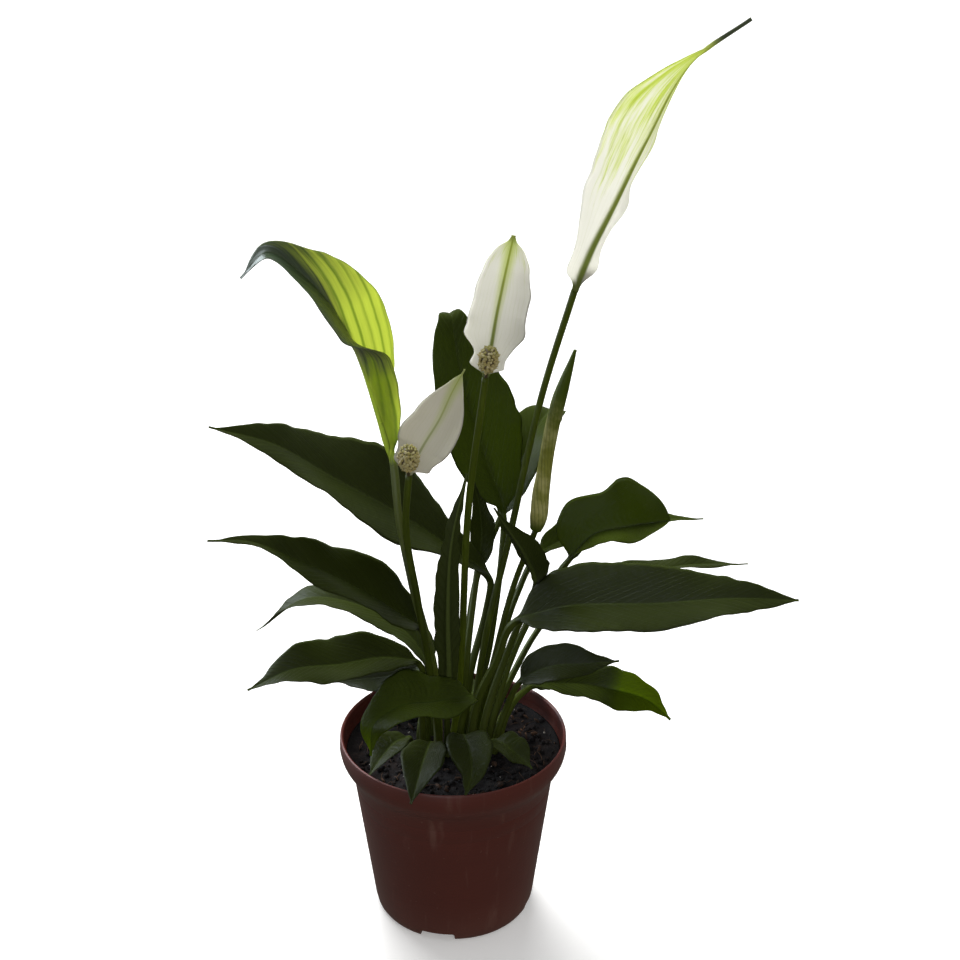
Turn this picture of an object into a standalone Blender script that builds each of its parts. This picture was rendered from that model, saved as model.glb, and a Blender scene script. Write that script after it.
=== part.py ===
"""Potted peace lily: a nursery pot, its soil, leaves on their stalks, three blooms and a rolled bud.

Standalone Blender 4.5 script in metres, +Z up. The origin is on the ground under the pot's axis.
Sizes below are in millimetres and degrees, and are turned into metres where a mesh is made.
"""

import math
from typing import NamedTuple

import bmesh
import bpy
from mathutils import Matrix, Vector

MM = 0.001

# Pot
POT_HEIGHT = 106.0
RIM_RADIUS = 60.5
BODY_TOP_RADIUS = 53.4
BODY_TOP_HEIGHT = 82.0
BODY_FOOT_RADIUS = 43.6
BODY_FOOT_HEIGHT = 7.0
BASE_RADIUS = 40.2
WALL = 1.6
FLOOR = 2.0
RAISED_FLOOR = 7.2
BOSS_RADIUS = 18.0
SKIRT_RADIUS = 37.4
POT_STEPS = 40
NOTCH_COUNT = 4
NOTCH_WIDTH = 19.0
NOTCH_HEIGHT = 5.0
NOTCH_LENGTH = 9.0
NOTCH_AT = 258.0
DRAIN_COUNT = 6
DRAIN_RADIUS = 3.5
DRAIN_SIDES = 16

# Half profiles of the pot's wall, from the middle of its underside up, then down its inside
POT_OUTSIDE = [
    (0.0, 0.0),
    (BOSS_RADIUS, 0.0),
    (BOSS_RADIUS + 2.0, RAISED_FLOOR - FLOOR),
    (SKIRT_RADIUS, RAISED_FLOOR - FLOOR),
    (SKIRT_RADIUS, 0.0),
    (BASE_RADIUS, 0.0),
    (42.6, 2.6),
    (BODY_FOOT_RADIUS, BODY_FOOT_HEIGHT),
    (BODY_TOP_RADIUS, BODY_TOP_HEIGHT),
    (55.0, 87.0),
    (57.6, 91.0),
    (59.6, 95.0),
    (RIM_RADIUS, 99.0),
    (RIM_RADIUS - 0.3, 104.6),
    (RIM_RADIUS - 1.0, POT_HEIGHT),
    (RIM_RADIUS - 2.0, POT_HEIGHT - 0.4),
]
POT_INSIDE = [
    (58.4, 99.0),
    (57.6, 95.6),
    (55.8, 91.8),
    (53.3, 87.8),
    (BODY_TOP_RADIUS - WALL, BODY_TOP_HEIGHT),
    (41.9, RAISED_FLOOR + 2.4),
    (40.0, RAISED_FLOOR),
    (BOSS_RADIUS, RAISED_FLOOR),
    (BOSS_RADIUS - 2.0, FLOOR),
]

# Soil
SOIL_TOP = 94.0
SOIL_LUMP = 1.0
SOIL_WAVES = (4.1, 5.3, 6.7)
SOIL_STEPS = 30
SOIL_RINGS = 5
FIT = 0.3
SIDE_FIT = 0.5

# Stems and blades
ROOT_DEPTH = 12.0
OUTLET = 2.0
HOLE_SIDES = 8
HOLE_HEADROOM = 8.0
CURVE_STEPS = 12
BLADE_THICKNESS = 0.8
STEM_ROWS = 4
STEM_TAPER = 0.25
TIP_HALF_WIDTH = 0.7
RIB = 0.5
EDGE_LAG = 0.3
WIDE_ACROSS = (1.0, 0.55, 0.09, -0.09, -0.55, -1.0)
SMALL_ACROSS = (1.0, 0.5, 0.0, -0.5, -1.0)

# Blooms
SPADIX_AROUND = 12
SPADIX_ROWS = 11
FLORET_RELIEF = 0.55
FLOWER_STALK_SIDES = 8
FLOWER_STALK_ROWS = 8
SPATHE_ROWS = 14
SPATHE_CLAW = 1.0
SPATHE_SEAT = -0.8
SPATHE_RIB = 0.4
SPADIX_SEAT = 0.9
STIPE = 0.8
STIPE_LENGTH = 3.0

# Bud
BUD_ROOT = (13, 5)
BUD_STALK = [(23, 13, 148), (32, 18, 184), (43, 17, 217)]
BUD_STALK_RADIUS = 1.6
BUD_ROUTE = [(46, 17, 241), (52, 16, 282), (61, 14, 317)]
BUD_RADIUS = 3.8
BUD_SWELLING = 1.3
BUD_TIP_RADIUS = 0.2
BUD_SIDES = 14
BUD_ROWS = 16
BUD_OVERLAP = 0.22
BUD_WRAP = 0.985
BUD_SEAM = 200.0
BUD_TWIST = 150.0


class Leaf(NamedTuple):
    """A leaf with its stalk. The stalk leaves the soil upright at root, and blade starts at its base.

    The left half may have a fold of its own, and stands up by the first of curl until it opens
    between the other two.
    """

    root: tuple
    stalk: list
    blade: list
    half_width: float
    radius: float = 2.1
    heading: float = None
    belly: float = 0.4
    shoulder: float = 0.8
    taper: float = 1.25
    fold: tuple = (24.0, 12.0)
    left_fold: tuple = None
    curl: tuple = (0.0, 0.0, 1.0)
    roll: tuple = (0.0, 0.0)
    wave: tuple = (0.8, 2.0, 0.0)
    rows: int = 10
    across: tuple = SMALL_ACROSS


LEAVES = {
    "leaf_arched_left": Leaf(
        root=(-8, 1),
        stalk=[(-9, -3, 139), (-20, -13, 203), (-26, -15, 243)],
        blade=[(-28, -12, 268), (-35, -12, 299), (-46, -13, 332), (-67, -14, 364), (-84, -18, 377), (-96, -20, 365)],
        half_width=22,
        radius=2.5,
        belly=0.52,
        shoulder=1.5,
        taper=1.35,
        fold=(40, 40),
        left_fold=(60, 0),
        curl=(55, 0.36, 0.52),
        roll=(-30, -30),
        wave=(2.5, 1.5, 0.1),
        rows=20,
        across=WIDE_ACROSS,
    ),
    "leaf_long_left": Leaf(
        root=(6, 13),
        stalk=[(9, 20, 128), (18, 28, 165)],
        blade=[(20, 29, 179), (0, 23, 203), (-30, 15, 229), (-58, 6, 251), (-88, -4, 275), (-117, -12, 287)],
        half_width=30,
        radius=2.5,
        belly=0.45,
        shoulder=1.5,
        roll=(-32, -25),
        wave=(2.2, 2.5, 0.7),
        rows=18,
        across=WIDE_ACROSS,
    ),
    "leaf_curled_left": Leaf(
        root=(-14, 3),
        stalk=[(-13, 0, 137)],
        blade=[(-16, -3, 169), (-30, -9, 185), (-76, -31, 225), (-98, -37, 238), (-117, -39, 239)],
        half_width=20,
        belly=0.34,
        shoulder=0.6,
        taper=1.5,
        roll=(-28, -25),
        wave=(1.6, 2.5, 0.3),
        rows=18,
        across=WIDE_ACROSS,
    ),
    "leaf_far_left": Leaf(
        root=(-11, 13),
        stalk=[(-11, 24, 112)],
        blade=[(-13, 35, 121), (-23, 49, 134), (-47, 62, 145), (-81, 72, 147), (-113, 80, 121)],
        half_width=15,
        shoulder=0.6,
        roll=(-10, -10),
        wave=(1.2, 2.5, 0.0),
    ),
    "leaf_tall_centre": Leaf(
        root=(11, 19),
        stalk=[(20, 28, 146), (26, 45, 190)],
        blade=[(27, 53, 208), (17, 60, 239), (2, 74, 291), (-1, 86, 309), (-3, 104, 303)],
        half_width=25,
        belly=0.42,
        taper=1.3,
        shoulder=0.7,
        wave=(1.5, 2.0, 0.2),
        rows=18,
        across=WIDE_ACROSS,
    ),
    "leaf_tall_right": Leaf(
        root=(1, 19),
        stalk=[(7, 38, 138), (13, 54, 171)],
        blade=[(25, 64, 200), (44, 84, 243), (52, 100, 248), (60, 120, 236)],
        half_width=16,
        belly=0.5,
    ),
    "leaf_inner_front": Leaf(
        root=(15, -3),
        stalk=[(31, 4, 159)],
        blade=[(43, 0, 195), (38, -14, 218), (29, -28, 239), (21, -38, 256)],
        half_width=11,
    ),
    "leaf_wavy_right": Leaf(
        root=(19, 3),
        stalk=[(25, 8, 126), (43, 20, 168)],
        blade=[(61, 24, 196), (73, 27, 209), (91, 25, 215), (112, 16, 223)],
        half_width=26,
        belly=0.6,
        shoulder=0.6,
        taper=0.45,
        fold=(45, 40),
        roll=(35, 35),
        wave=(3.0, 1.6, 0.1),
        rows=16,
        across=WIDE_ACROSS,
    ),
    "leaf_narrow_right": Leaf(
        root=(17, 17),
        stalk=[(24, 28, 136), (34, 40, 166)],
        blade=[(45, 46, 187), (63, 56, 194), (96, 64, 199), (136, 66, 199)],
        half_width=13,
        roll=(20, 0),
    ),
    "leaf_long_right": Leaf(
        root=(9, -5),
        stalk=[(14, -5, 131), (23, -8, 154)],
        blade=[(32, -12, 179), (48, -16, 188), (105, -32, 201), (139, -38, 207), (170, -40, 207)],
        half_width=23,
        radius=2.5,
        belly=0.34,
        taper=0.95,
        roll=(30, 30),
        wave=(1.2, 2.5, 0.0),
        rows=18,
        across=WIDE_ACROSS,
    ),
    "leaf_far_right": Leaf(
        root=(20, 10),
        stalk=[(33, 28, 126)],
        blade=[(56, 48, 153), (92, 64, 162), (126, 74, 166), (164, 78, 165)],
        half_width=12,
        wave=(1.5, 3.0, 0.0),
    ),
    "leaf_lower_right": Leaf(
        root=(22, -4),
        stalk=[(29, 0, 122)],
        blade=[(35, -2, 137), (51, -6, 149), (70, -10, 153), (86, -12, 156)],
        half_width=13,
        roll=(30, 30),
    ),
    "leaf_lowest_right": Leaf(
        root=(25, 5),
        stalk=[(32, 14, 114)],
        blade=[(41, 22, 119), (64, 30, 117), (87, 28, 114), (107, 20, 111), (117, 12, 105)],
        half_width=13,
        belly=0.6,
        shoulder=0.5,
        roll=(10, 60),
        wave=(1.5, 2.0, 0.0),
        rows=12,
    ),
    "leaf_small_back": Leaf(
        root=(24, 17),
        stalk=[(32, 33, 104)],
        blade=[(37, 37, 107), (45, 38, 110), (53, 36, 109)],
        half_width=6,
        radius=1.4,
        rows=8,
    ),
    "leaf_lower_left": Leaf(
        root=(-16, -7),
        stalk=[(-16, -11, 132)],
        blade=[(-17, -13, 155), (-32, -20, 163), (-56, -32, 166), (-80, -41, 168), (-101, -47, 160)],
        half_width=17,
        belly=0.5,
        roll=(-20, -20),
        wave=(1.5, 2.5, 0.2),
        rows=14,
    ),
    "leaf_under_left": Leaf(
        root=(-18, 10),
        stalk=[(-16, 20, 113)],
        blade=[(-18, 30, 124), (-38, 38, 116), (-66, 46, 108)],
        half_width=12,
        roll=(-40, -30),
    ),
    "leaf_bright_front": Leaf(
        root=(3, -11),
        stalk=[(6, -10, 124)],
        blade=[(10, -17, 137), (-10, -34, 145), (-27, -47, 150), (-38, -55, 145), (-40, -58, 129)],
        half_width=20,
        roll=(-15, -15),
        wave=(2.0, 2.0, 0.0),
        rows=16,
        across=WIDE_ACROSS,
    ),
    "leaf_small_left": Leaf(
        root=(-22, -11),
        stalk=[(-22, -17, 112)],
        blade=[(-23, -22, 116), (-29, -29, 118), (-36, -37, 114), (-42, -46, 109)],
        half_width=10,
        radius=1.4,
        rows=8,
    ),
    "leaf_small_front_left": Leaf(
        root=(-9, -17),
        stalk=[(-10, -22, 112)],
        blade=[(-11, -27, 116), (-14, -44, 118), (-17, -60, 115), (-20, -71, 109)],
        half_width=13,
        radius=1.4,
        rows=8,
    ),
    "leaf_small_front": Leaf(
        root=(10, -14),
        stalk=[(7, -18, 112)],
        blade=[(6, -22, 117), (9, -40, 120), (10, -53, 114), (7, -62, 108)],
        half_width=13,
        radius=1.4,
        rows=8,
    ),
    "leaf_small_front_right": Leaf(
        root=(16, -12),
        stalk=[(19, -16, 109)],
        blade=[(22, -20, 113), (29, -30, 115), (36, -34, 111), (41, -39, 108)],
        half_width=11,
        radius=1.4,
        rows=8,
    ),
    "leaf_small_back_left": Leaf(
        root=(-8, 21),
        stalk=[(-12, 28, 103)],
        blade=[(-15, 32, 106), (-23, 40, 107), (-30, 47, 103)],
        half_width=9,
        radius=1.4,
        rows=8,
    ),
    "leaf_small_back_middle": Leaf(
        root=(9, 26),
        stalk=[(10, 32, 103)],
        blade=[(10, 36, 106), (12, 46, 107), (15, 54, 103)],
        half_width=9,
        radius=1.4,
        rows=8,
    ),
    "leaf_upright_front": Leaf(
        root=(-3, -5),
        stalk=[(-3, -6, 109)],
        blade=[(-3, -8, 119), (-2, -13, 150), (-2, -18, 190), (0, -20, 228), (8, -18, 265)],
        half_width=8,
        belly=0.5,
        shoulder=0.8,
        heading=-80,
    ),
    "leaf_inner_back": Leaf(
        root=(5, 7),
        stalk=[(8, 14, 150)],
        blade=[(13, 33, 186), (15, 38, 203), (14, 40, 218), (11, 41, 233)],
        half_width=8,
        rows=8,
    ),
}


class Bloom(NamedTuple):
    """An open bloom. A spathe that stands upright turns its inner face away from its heading."""

    root: tuple
    stalk: list
    spathe: list
    heading: float
    half_width: tuple
    spadix: tuple
    radius: float = 1.8
    belly: float = 0.45
    shoulder: float = 0.7
    taper: float = 0.8
    cup: float = 0.35
    lean: float = 0.25
    tail: float = 0.04
    tail_width: float = TIP_HALF_WIDTH
    roll: tuple = (0.0, 0.0)


BLOOMS = {
    "tall": Bloom(
        root=(11, 12),
        stalk=[(17, 18, 151), (29, 26, 205), (47, 34, 290), (61, 33, 341)],
        spathe=[(67, 27, 361), (78, 21, 388), (91, 14, 420), (112, 0, 463), (134, -5, 480)],
        heading=-85,
        half_width=(17, 22),
        cup=0.5,
        lean=0.4,
        belly=0.74,
        shoulder=1.05,
        roll=(10, 60),
        taper=0.6,
        spadix=(4.2, 15.0),
        tail=0.15,
        tail_width=1.2,
    ),
    "centre": Bloom(
        root=(0, 3),
        stalk=[(3, 2, 124), (5, 0, 162), (9, -9, 247), (17, -12, 313)],
        spathe=[(19, -8, 323), (22, -3, 340), (26, -1, 360), (30, -5, 381)],
        heading=90,
        half_width=(14, 14),
        taper=0.6,
        spadix=(4.8, 14.0),
    ),
    "left": Bloom(
        root=(-7, -7),
        stalk=[(-10, -11, 137), (-17, -18, 195), (-22, -23, 241), (-20, -24, 267)],
        spathe=[(-14, -18, 278), (-5, -13, 292), (1, -11, 305), (7, -12, 317)],
        heading=80,
        half_width=(14, 14),
        belly=0.36,
        taper=1.0,
        spadix=(5.2, 14.0),
    ),
}


def smooth(low, high, value):
    """0 below low, 1 above high, and an even S between them."""
    share = min(max((value - low) / (high - low), 0.0), 1.0)
    return share * share * (3.0 - 2.0 * share)


def mix(pair, share):
    return pair[0] + (pair[1] - pair[0]) * share


def material(name, colour, roughness):
    made = bpy.data.materials.new(name)
    made.use_nodes = True
    shader = made.node_tree.nodes["Principled BSDF"]
    shader.inputs["Base Color"].default_value = (*colour, 1.0)
    shader.inputs["Roughness"].default_value = roughness
    shader.inputs["Metallic"].default_value = 0.0
    return made


def add_object(name, mesh, surface):
    """A linked object of the bmesh, whose points are in millimetres."""
    bmesh.ops.scale(mesh, vec=(MM, MM, MM), verts=mesh.verts)
    data = bpy.data.meshes.new(name)
    mesh.to_mesh(data)
    mesh.free()
    data.materials.append(surface)
    made = bpy.data.objects.new(name, data)
    bpy.context.collection.objects.link(made)
    return made


def curve_through(points, start):
    """Close points on a smooth curve through the given ones, which sets off along start."""
    points = [Vector(point) for point in points]
    lengths = [(b - a).length for a, b in zip(points, points[1:])]
    tangents = [Vector(start).normalized()]
    for before, here, after, back, on in zip(points, points[1:], points[2:], lengths, lengths[1:]):
        tangents.append(((here - before) / back * on + (after - here) / on * back) / (back + on))
    tangents.append((points[-1] - points[-2]) / lengths[-1])
    dense = []
    for index, length in enumerate(lengths):
        for step in range(CURVE_STEPS):
            t = step / CURVE_STEPS
            dense.append(
                points[index] * (1 + 2 * t) * (1 - t) ** 2
                + tangents[index] * length * t * (1 - t) ** 2
                + points[index + 1] * t * t * (3 - 2 * t)
                - tangents[index + 1] * length * t * t * (1 - t)
            )
    dense.append(points[-1])
    return dense


def walk(dense, start, end, count):
    """count + 1 evenly spaced (point, direction) pairs along dense, from its point start to its point end."""
    travelled = [0.0]
    for a, b in zip(dense, dense[1:]):
        travelled.append(travelled[-1] + (b - a).length)
    stations = []
    place = 0
    for step in range(count + 1):
        target = travelled[start] + (travelled[end] - travelled[start]) * step / count
        while place < len(dense) - 2 and travelled[place + 1] < target:
            place += 1
        span = dense[place + 1] - dense[place]
        point = dense[place] + span * ((target - travelled[place]) / span.length)
        before = dense[max(place - 1, 0)]
        after = dense[min(place + 2, len(dense) - 1)]
        stations.append((point, (after - before).normalized()))
    return stations


def frame_at(direction, heading, roll):
    """(side, up) square to direction: side lies to the left of heading, turned about direction by roll."""
    left = Vector((-math.sin(heading), math.cos(heading), 0.0))
    side = (left - direction * left.dot(direction)).normalized()
    up = direction.cross(side)
    turn = Matrix.Rotation(math.radians(roll), 3, direction)
    return turn @ side, turn @ up


def round_ring(point, side, up, side_radius, up_radius, count):
    """count points round a stem, going clockwise as seen along it."""
    ring = []
    for index in range(count):
        angle = 2 * math.pi * (index + 0.5) / count
        ring.append(point + side * math.cos(angle) * side_radius + up * math.sin(angle) * up_radius)
    return ring


def blade_ring(point, side, up, across, half_width, shape, rib):
    """The upper face of a blade from left to right, then its under face from right to left.

    shape gives the height of a place across the blade. The rib stands out below the middle.
    """
    top = []
    under = []
    for place in across:
        here = point + side * place * half_width[1 if place < 0 else 0] + up * shape(place)
        lean = shape(place) - shape(place * 0.9)
        run = 0.1 * abs(place) * half_width[1 if place < 0 else 0] + 1e-6
        slope = math.atan2(lean, run) if abs(place) > 0.3 else 0.0
        outward = -math.copysign(math.sin(slope), place) * side + math.cos(slope) * up
        ridge = rib if abs(place) < 0.2 else 0.0
        top.append(here + outward * BLADE_THICKNESS / 2)
        under.append(here - outward * (BLADE_THICKNESS / 2 + ridge))
    return top + under[::-1]


def skin(rings):
    """A closed bmesh over the rings, split into the same triangles on both faces of a blade."""
    mesh = bmesh.new()
    rows = [[mesh.verts.new(point) for point in ring] for ring in rings]
    count = len(rings[0])
    for low, high in zip(rows, rows[1:]):
        for a in range(count):
            b = (a + 1) % count
            if a < count // 2:
                mesh.faces.new((low[a], low[b], high[b]))
                mesh.faces.new((low[a], high[b], high[a]))
            else:
                mesh.faces.new((low[a], low[b], high[a]))
                mesh.faces.new((low[b], high[b], high[a]))
    mesh.faces.new(rows[0][::-1])
    mesh.faces.new(rows[-1])
    bmesh.ops.triangulate(mesh, faces=[face for face in mesh.faces if len(face.verts) > 4])
    return mesh


def root_points(root):
    """The foot of a stem in the soil, and the place where it comes out."""
    return Vector((*root, SOIL_TOP - ROOT_DEPTH)), Vector((*root, SOIL_TOP + OUTLET))


def blade_width(leaf, along):
    """Half width of the blade at a share of its length."""
    if along < leaf.belly:
        swell = math.sin(math.pi / 2 * along / leaf.belly) ** leaf.shoulder
    else:
        swell = math.cos(math.pi / 2 * (along - leaf.belly) / (1 - leaf.belly)) ** leaf.taper
    return max(leaf.radius * (1 - along) + (leaf.half_width - leaf.radius) * swell, TIP_HALF_WIDTH)


def half_folds(leaf, along):
    """How far the left and right halves of the blade are folded up from flat."""
    more, start, end = leaf.curl
    left = mix(leaf.left_fold or leaf.fold, along) + more * (1 - smooth(start, end, along))
    return math.radians(left), math.radians(mix(leaf.fold, along))


def leaf_rings(leaf):
    foot, outlet = root_points(leaf.root)
    dense = curve_through([outlet, *leaf.stalk, *leaf.blade], (0, 0, 1))
    base = (len(leaf.stalk) + 1) * CURVE_STEPS
    run = dense[-1] - dense[base]
    heading = math.atan2(run.y, run.x) if leaf.heading is None else math.radians(leaf.heading)
    count = 2 * len(leaf.across)
    side, up = frame_at(Vector((0, 0, 1)), heading, leaf.roll[0])
    rings = [round_ring(foot, side, up, leaf.radius, leaf.radius, count)]
    for index, (point, direction) in enumerate(walk(dense, 0, base, STEM_ROWS)[:-1]):
        side, up = frame_at(direction, heading, leaf.roll[0])
        radius = leaf.radius * (1.0 - STEM_TAPER * index / STEM_ROWS)
        rings.append(round_ring(point, side, up, radius, radius, count))
    for index, (point, direction) in enumerate(walk(dense, base, len(dense) - 1, leaf.rows)):
        along = index / leaf.rows
        side, up = frame_at(direction, heading, mix(leaf.roll, along))
        width = blade_width(leaf, along)
        folds = half_folds(leaf, along)
        size, turns, phase = leaf.wave
        swing = size * smooth(0.0, 0.25, along) * smooth(1.0, 0.75, along)

        def shape(place, width=width, folds=folds, along=along, swing=swing):
            edge = abs(place) ** 1.5
            beat = math.sin(2 * math.pi * (turns * along + phase + (EDGE_LAG if place < 0 else 0.0)))
            fold = folds[1 if place < 0 else 0]
            return width * (abs(place) * math.sin(fold)) + swing * edge * beat

        wide = [width * math.cos(fold) for fold in folds]
        rib = leaf.radius * RIB * (1 - along)
        flat = blade_ring(point, side, up, leaf.across, wide, shape, rib)
        neck = leaf.radius * (1.0 - STEM_TAPER)
        stem = round_ring(point, side, up, neck, neck, count)
        share = smooth(0.0, 0.12, along)
        rings.append([a.lerp(b, share) for a, b in zip(stem, flat)])
    return rings


def make_leaves():
    green = material("leaf_green", (0.05, 0.14, 0.03), 0.35)
    for name, leaf in LEAVES.items():
        add_object(name, skin(leaf_rings(leaf)), green)


def spathe_width(bloom, along):
    """Share of the full half width at a share of the spathe's length, thin along its tail."""
    place = min(along / (1 - bloom.tail), 1.0)
    if place < bloom.belly:
        return math.sin(math.pi / 2 * place / bloom.belly) ** bloom.shoulder
    return math.cos(math.pi / 2 * (place - bloom.belly) / (1 - bloom.belly)) ** bloom.taper


def spathe_rings(bloom, base, direction, heading):
    dense = curve_through([base, *bloom.spathe], direction)
    rings = []
    count = 2 * len(SMALL_ACROSS)
    for index, (point, along_way) in enumerate(walk(dense, 0, len(dense) - 1, SPATHE_ROWS)):
        along = index / SPATHE_ROWS
        side, up = frame_at(along_way, heading, mix(bloom.roll, along))
        swell = spathe_width(bloom, along)
        widths = [max(width * swell, bloom.tail_width) for width in bloom.half_width]
        cup = bloom.cup * smooth(0.0, 0.35, along) * smooth(1.0, 0.6, along)

        def shape(place, widths=widths, cup=cup):
            width = widths[1 if place < 0 else 0]
            return width * cup * place * place

        flat = blade_ring(point, side, up, SMALL_ACROSS, widths, shape, SPATHE_RIB * (1 - along))
        stem = round_ring(point, side, up, SPATHE_CLAW, SPATHE_CLAW * 0.7, count)
        share = smooth(0.0, 0.1, along)
        rings.append([a.lerp(b, share) for a, b in zip(stem, flat)])
    return rings


def spadix_mesh(base, axis, heading, size):
    """A short stipe under a round-ended head, whose florets stand out as a lattice of studs."""
    radius, length = size
    side, up = frame_at(axis, heading, 0.0)
    mesh = bmesh.new()
    rows = [[mesh.verts.new(p) for p in round_ring(base, side, up, STIPE, STIPE, SPADIX_AROUND)]]
    for row in range(SPADIX_ROWS + 1):
        along = (row + 0.35) / (SPADIX_ROWS + 0.7)
        girth = radius * math.sqrt(1 - abs(2 * along - 1) ** 2.6)
        point = base + axis * (STIPE_LENGTH + length * along)
        ring = []
        for index in range(SPADIX_AROUND):
            angle = 2 * math.pi * (index + 0.5) / SPADIX_AROUND
            out = side * math.cos(angle) + up * math.sin(angle)
            relief = FLORET_RELIEF * (1 if (row + index) % 2 == 0 else -1)
            ring.append(mesh.verts.new(point + out * (girth + relief)))
        rows.append(ring)
    for row, (low, high) in enumerate(zip(rows, rows[1:])):
        for a in range(SPADIX_AROUND):
            b = (a + 1) % SPADIX_AROUND
            if (row + a) % 2:
                mesh.faces.new((low[a], low[b], high[a]))
                mesh.faces.new((low[b], high[b], high[a]))
            else:
                mesh.faces.new((low[a], low[b], high[b]))
                mesh.faces.new((low[a], high[b], high[a]))
    mesh.faces.new(rows[0][::-1])
    top = mesh.verts.new(base + axis * (STIPE_LENGTH + length + FLORET_RELIEF))
    for a in range(SPADIX_AROUND):
        mesh.faces.new((rows[-1][a], rows[-1][(a + 1) % SPADIX_AROUND], top))
    bmesh.ops.triangulate(mesh, faces=[face for face in mesh.faces if len(face.verts) > 4])
    return mesh


def stalk_rings(root, points, radius, heading):
    """The rings of a plain round stalk, with its end point and direction."""
    foot, outlet = root_points(root)
    dense = curve_through([outlet, *points], (0, 0, 1))
    stations = [(foot, Vector((0, 0, 1)))] + walk(dense, 0, len(dense) - 1, FLOWER_STALK_ROWS)
    rings = []
    for point, direction in stations:
        side, up = frame_at(direction, heading, 0.0)
        rings.append(round_ring(point, side, up, radius, radius, FLOWER_STALK_SIDES))
    return rings, stations[-1]


def make_blooms():
    stalk_green = material("stalk_green", (0.12, 0.22, 0.05), 0.45)
    white = material("spathe_white", (0.86, 0.9, 0.78), 0.5)
    cream = material("spadix_cream", (0.75, 0.7, 0.45), 0.6)
    for name, bloom in BLOOMS.items():
        heading = math.radians(bloom.heading)
        rings, (top, direction) = stalk_rings(bloom.root, bloom.stalk, bloom.radius, heading)
        add_object(f"bloom_{name}_stalk", skin(rings), stalk_green)
        side, up = frame_at(direction, heading, 0.0)
        claw = top + direction * FIT + up * SPATHE_SEAT
        add_object(f"bloom_{name}_spathe", skin(spathe_rings(bloom, claw, direction, heading)), white)
        stipe = top + direction * FIT + up * SPADIX_SEAT
        axis = (direction + up * bloom.lean).normalized()
        add_object(f"bloom_{name}_spadix", spadix_mesh(stipe, axis, heading, bloom.spadix), cream)


def bud_girth(along):
    """The bud swells above its stalk, holds its girth, and tapers to a point."""
    swollen = BUD_SWELLING * smooth(0.0, 0.08, along) * smooth(0.42, 0.12, along)
    return (BUD_RADIUS + swollen) * smooth(-0.12, 0.03, along) * smooth(1.12, 0.68, along) + BUD_TIP_RADIUS


def make_bud():
    """A spathe still rolled up, whose free edge runs round it as a step from foot to tip."""
    heading = math.radians(90)
    rings, (top, direction) = stalk_rings(BUD_ROOT, BUD_STALK, BUD_STALK_RADIUS, heading)
    add_object("bud_stalk", skin(rings), bpy.data.materials["stalk_green"])
    dense = curve_through([top + direction * FIT, *BUD_ROUTE], direction)
    rings = []
    for index, (point, along_way) in enumerate(walk(dense, 0, len(dense) - 1, BUD_ROWS)):
        along = index / BUD_ROWS
        side, up = frame_at(along_way, heading, 0.0)
        girth = bud_girth(along)
        seam = math.radians(BUD_SEAM + BUD_TWIST * along)
        ring = []
        for step in range(BUD_SIDES):
            share = step / (BUD_SIDES - 1)
            angle = seam + 2 * math.pi * BUD_WRAP * share
            out = side * math.cos(angle) + up * math.sin(angle)
            ring.append(point + out * girth * (1 - BUD_OVERLAP * share))
        rings.append(ring)
    add_object("bud_spathe", skin(rings), material("bud_cream", (0.6, 0.68, 0.35), 0.5))


def stems():
    """(root, radius) of everything that stands in the soil."""
    found = [(leaf.root, leaf.radius) for leaf in LEAVES.values()]
    found += [(bloom.root, bloom.radius) for bloom in BLOOMS.values()]
    return found + [(BUD_ROOT, BUD_STALK_RADIUS)]


def soil_height(x, y):
    """The soil's lumpy top, a sum of crossing waves."""
    short, middle, long = SOIL_WAVES
    rough = math.sin(x / short + 1.0) * math.cos(y / middle) + 0.6 * math.sin((x + 1.7 * y) / long)
    return SOIL_TOP + SOIL_LUMP * rough


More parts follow.
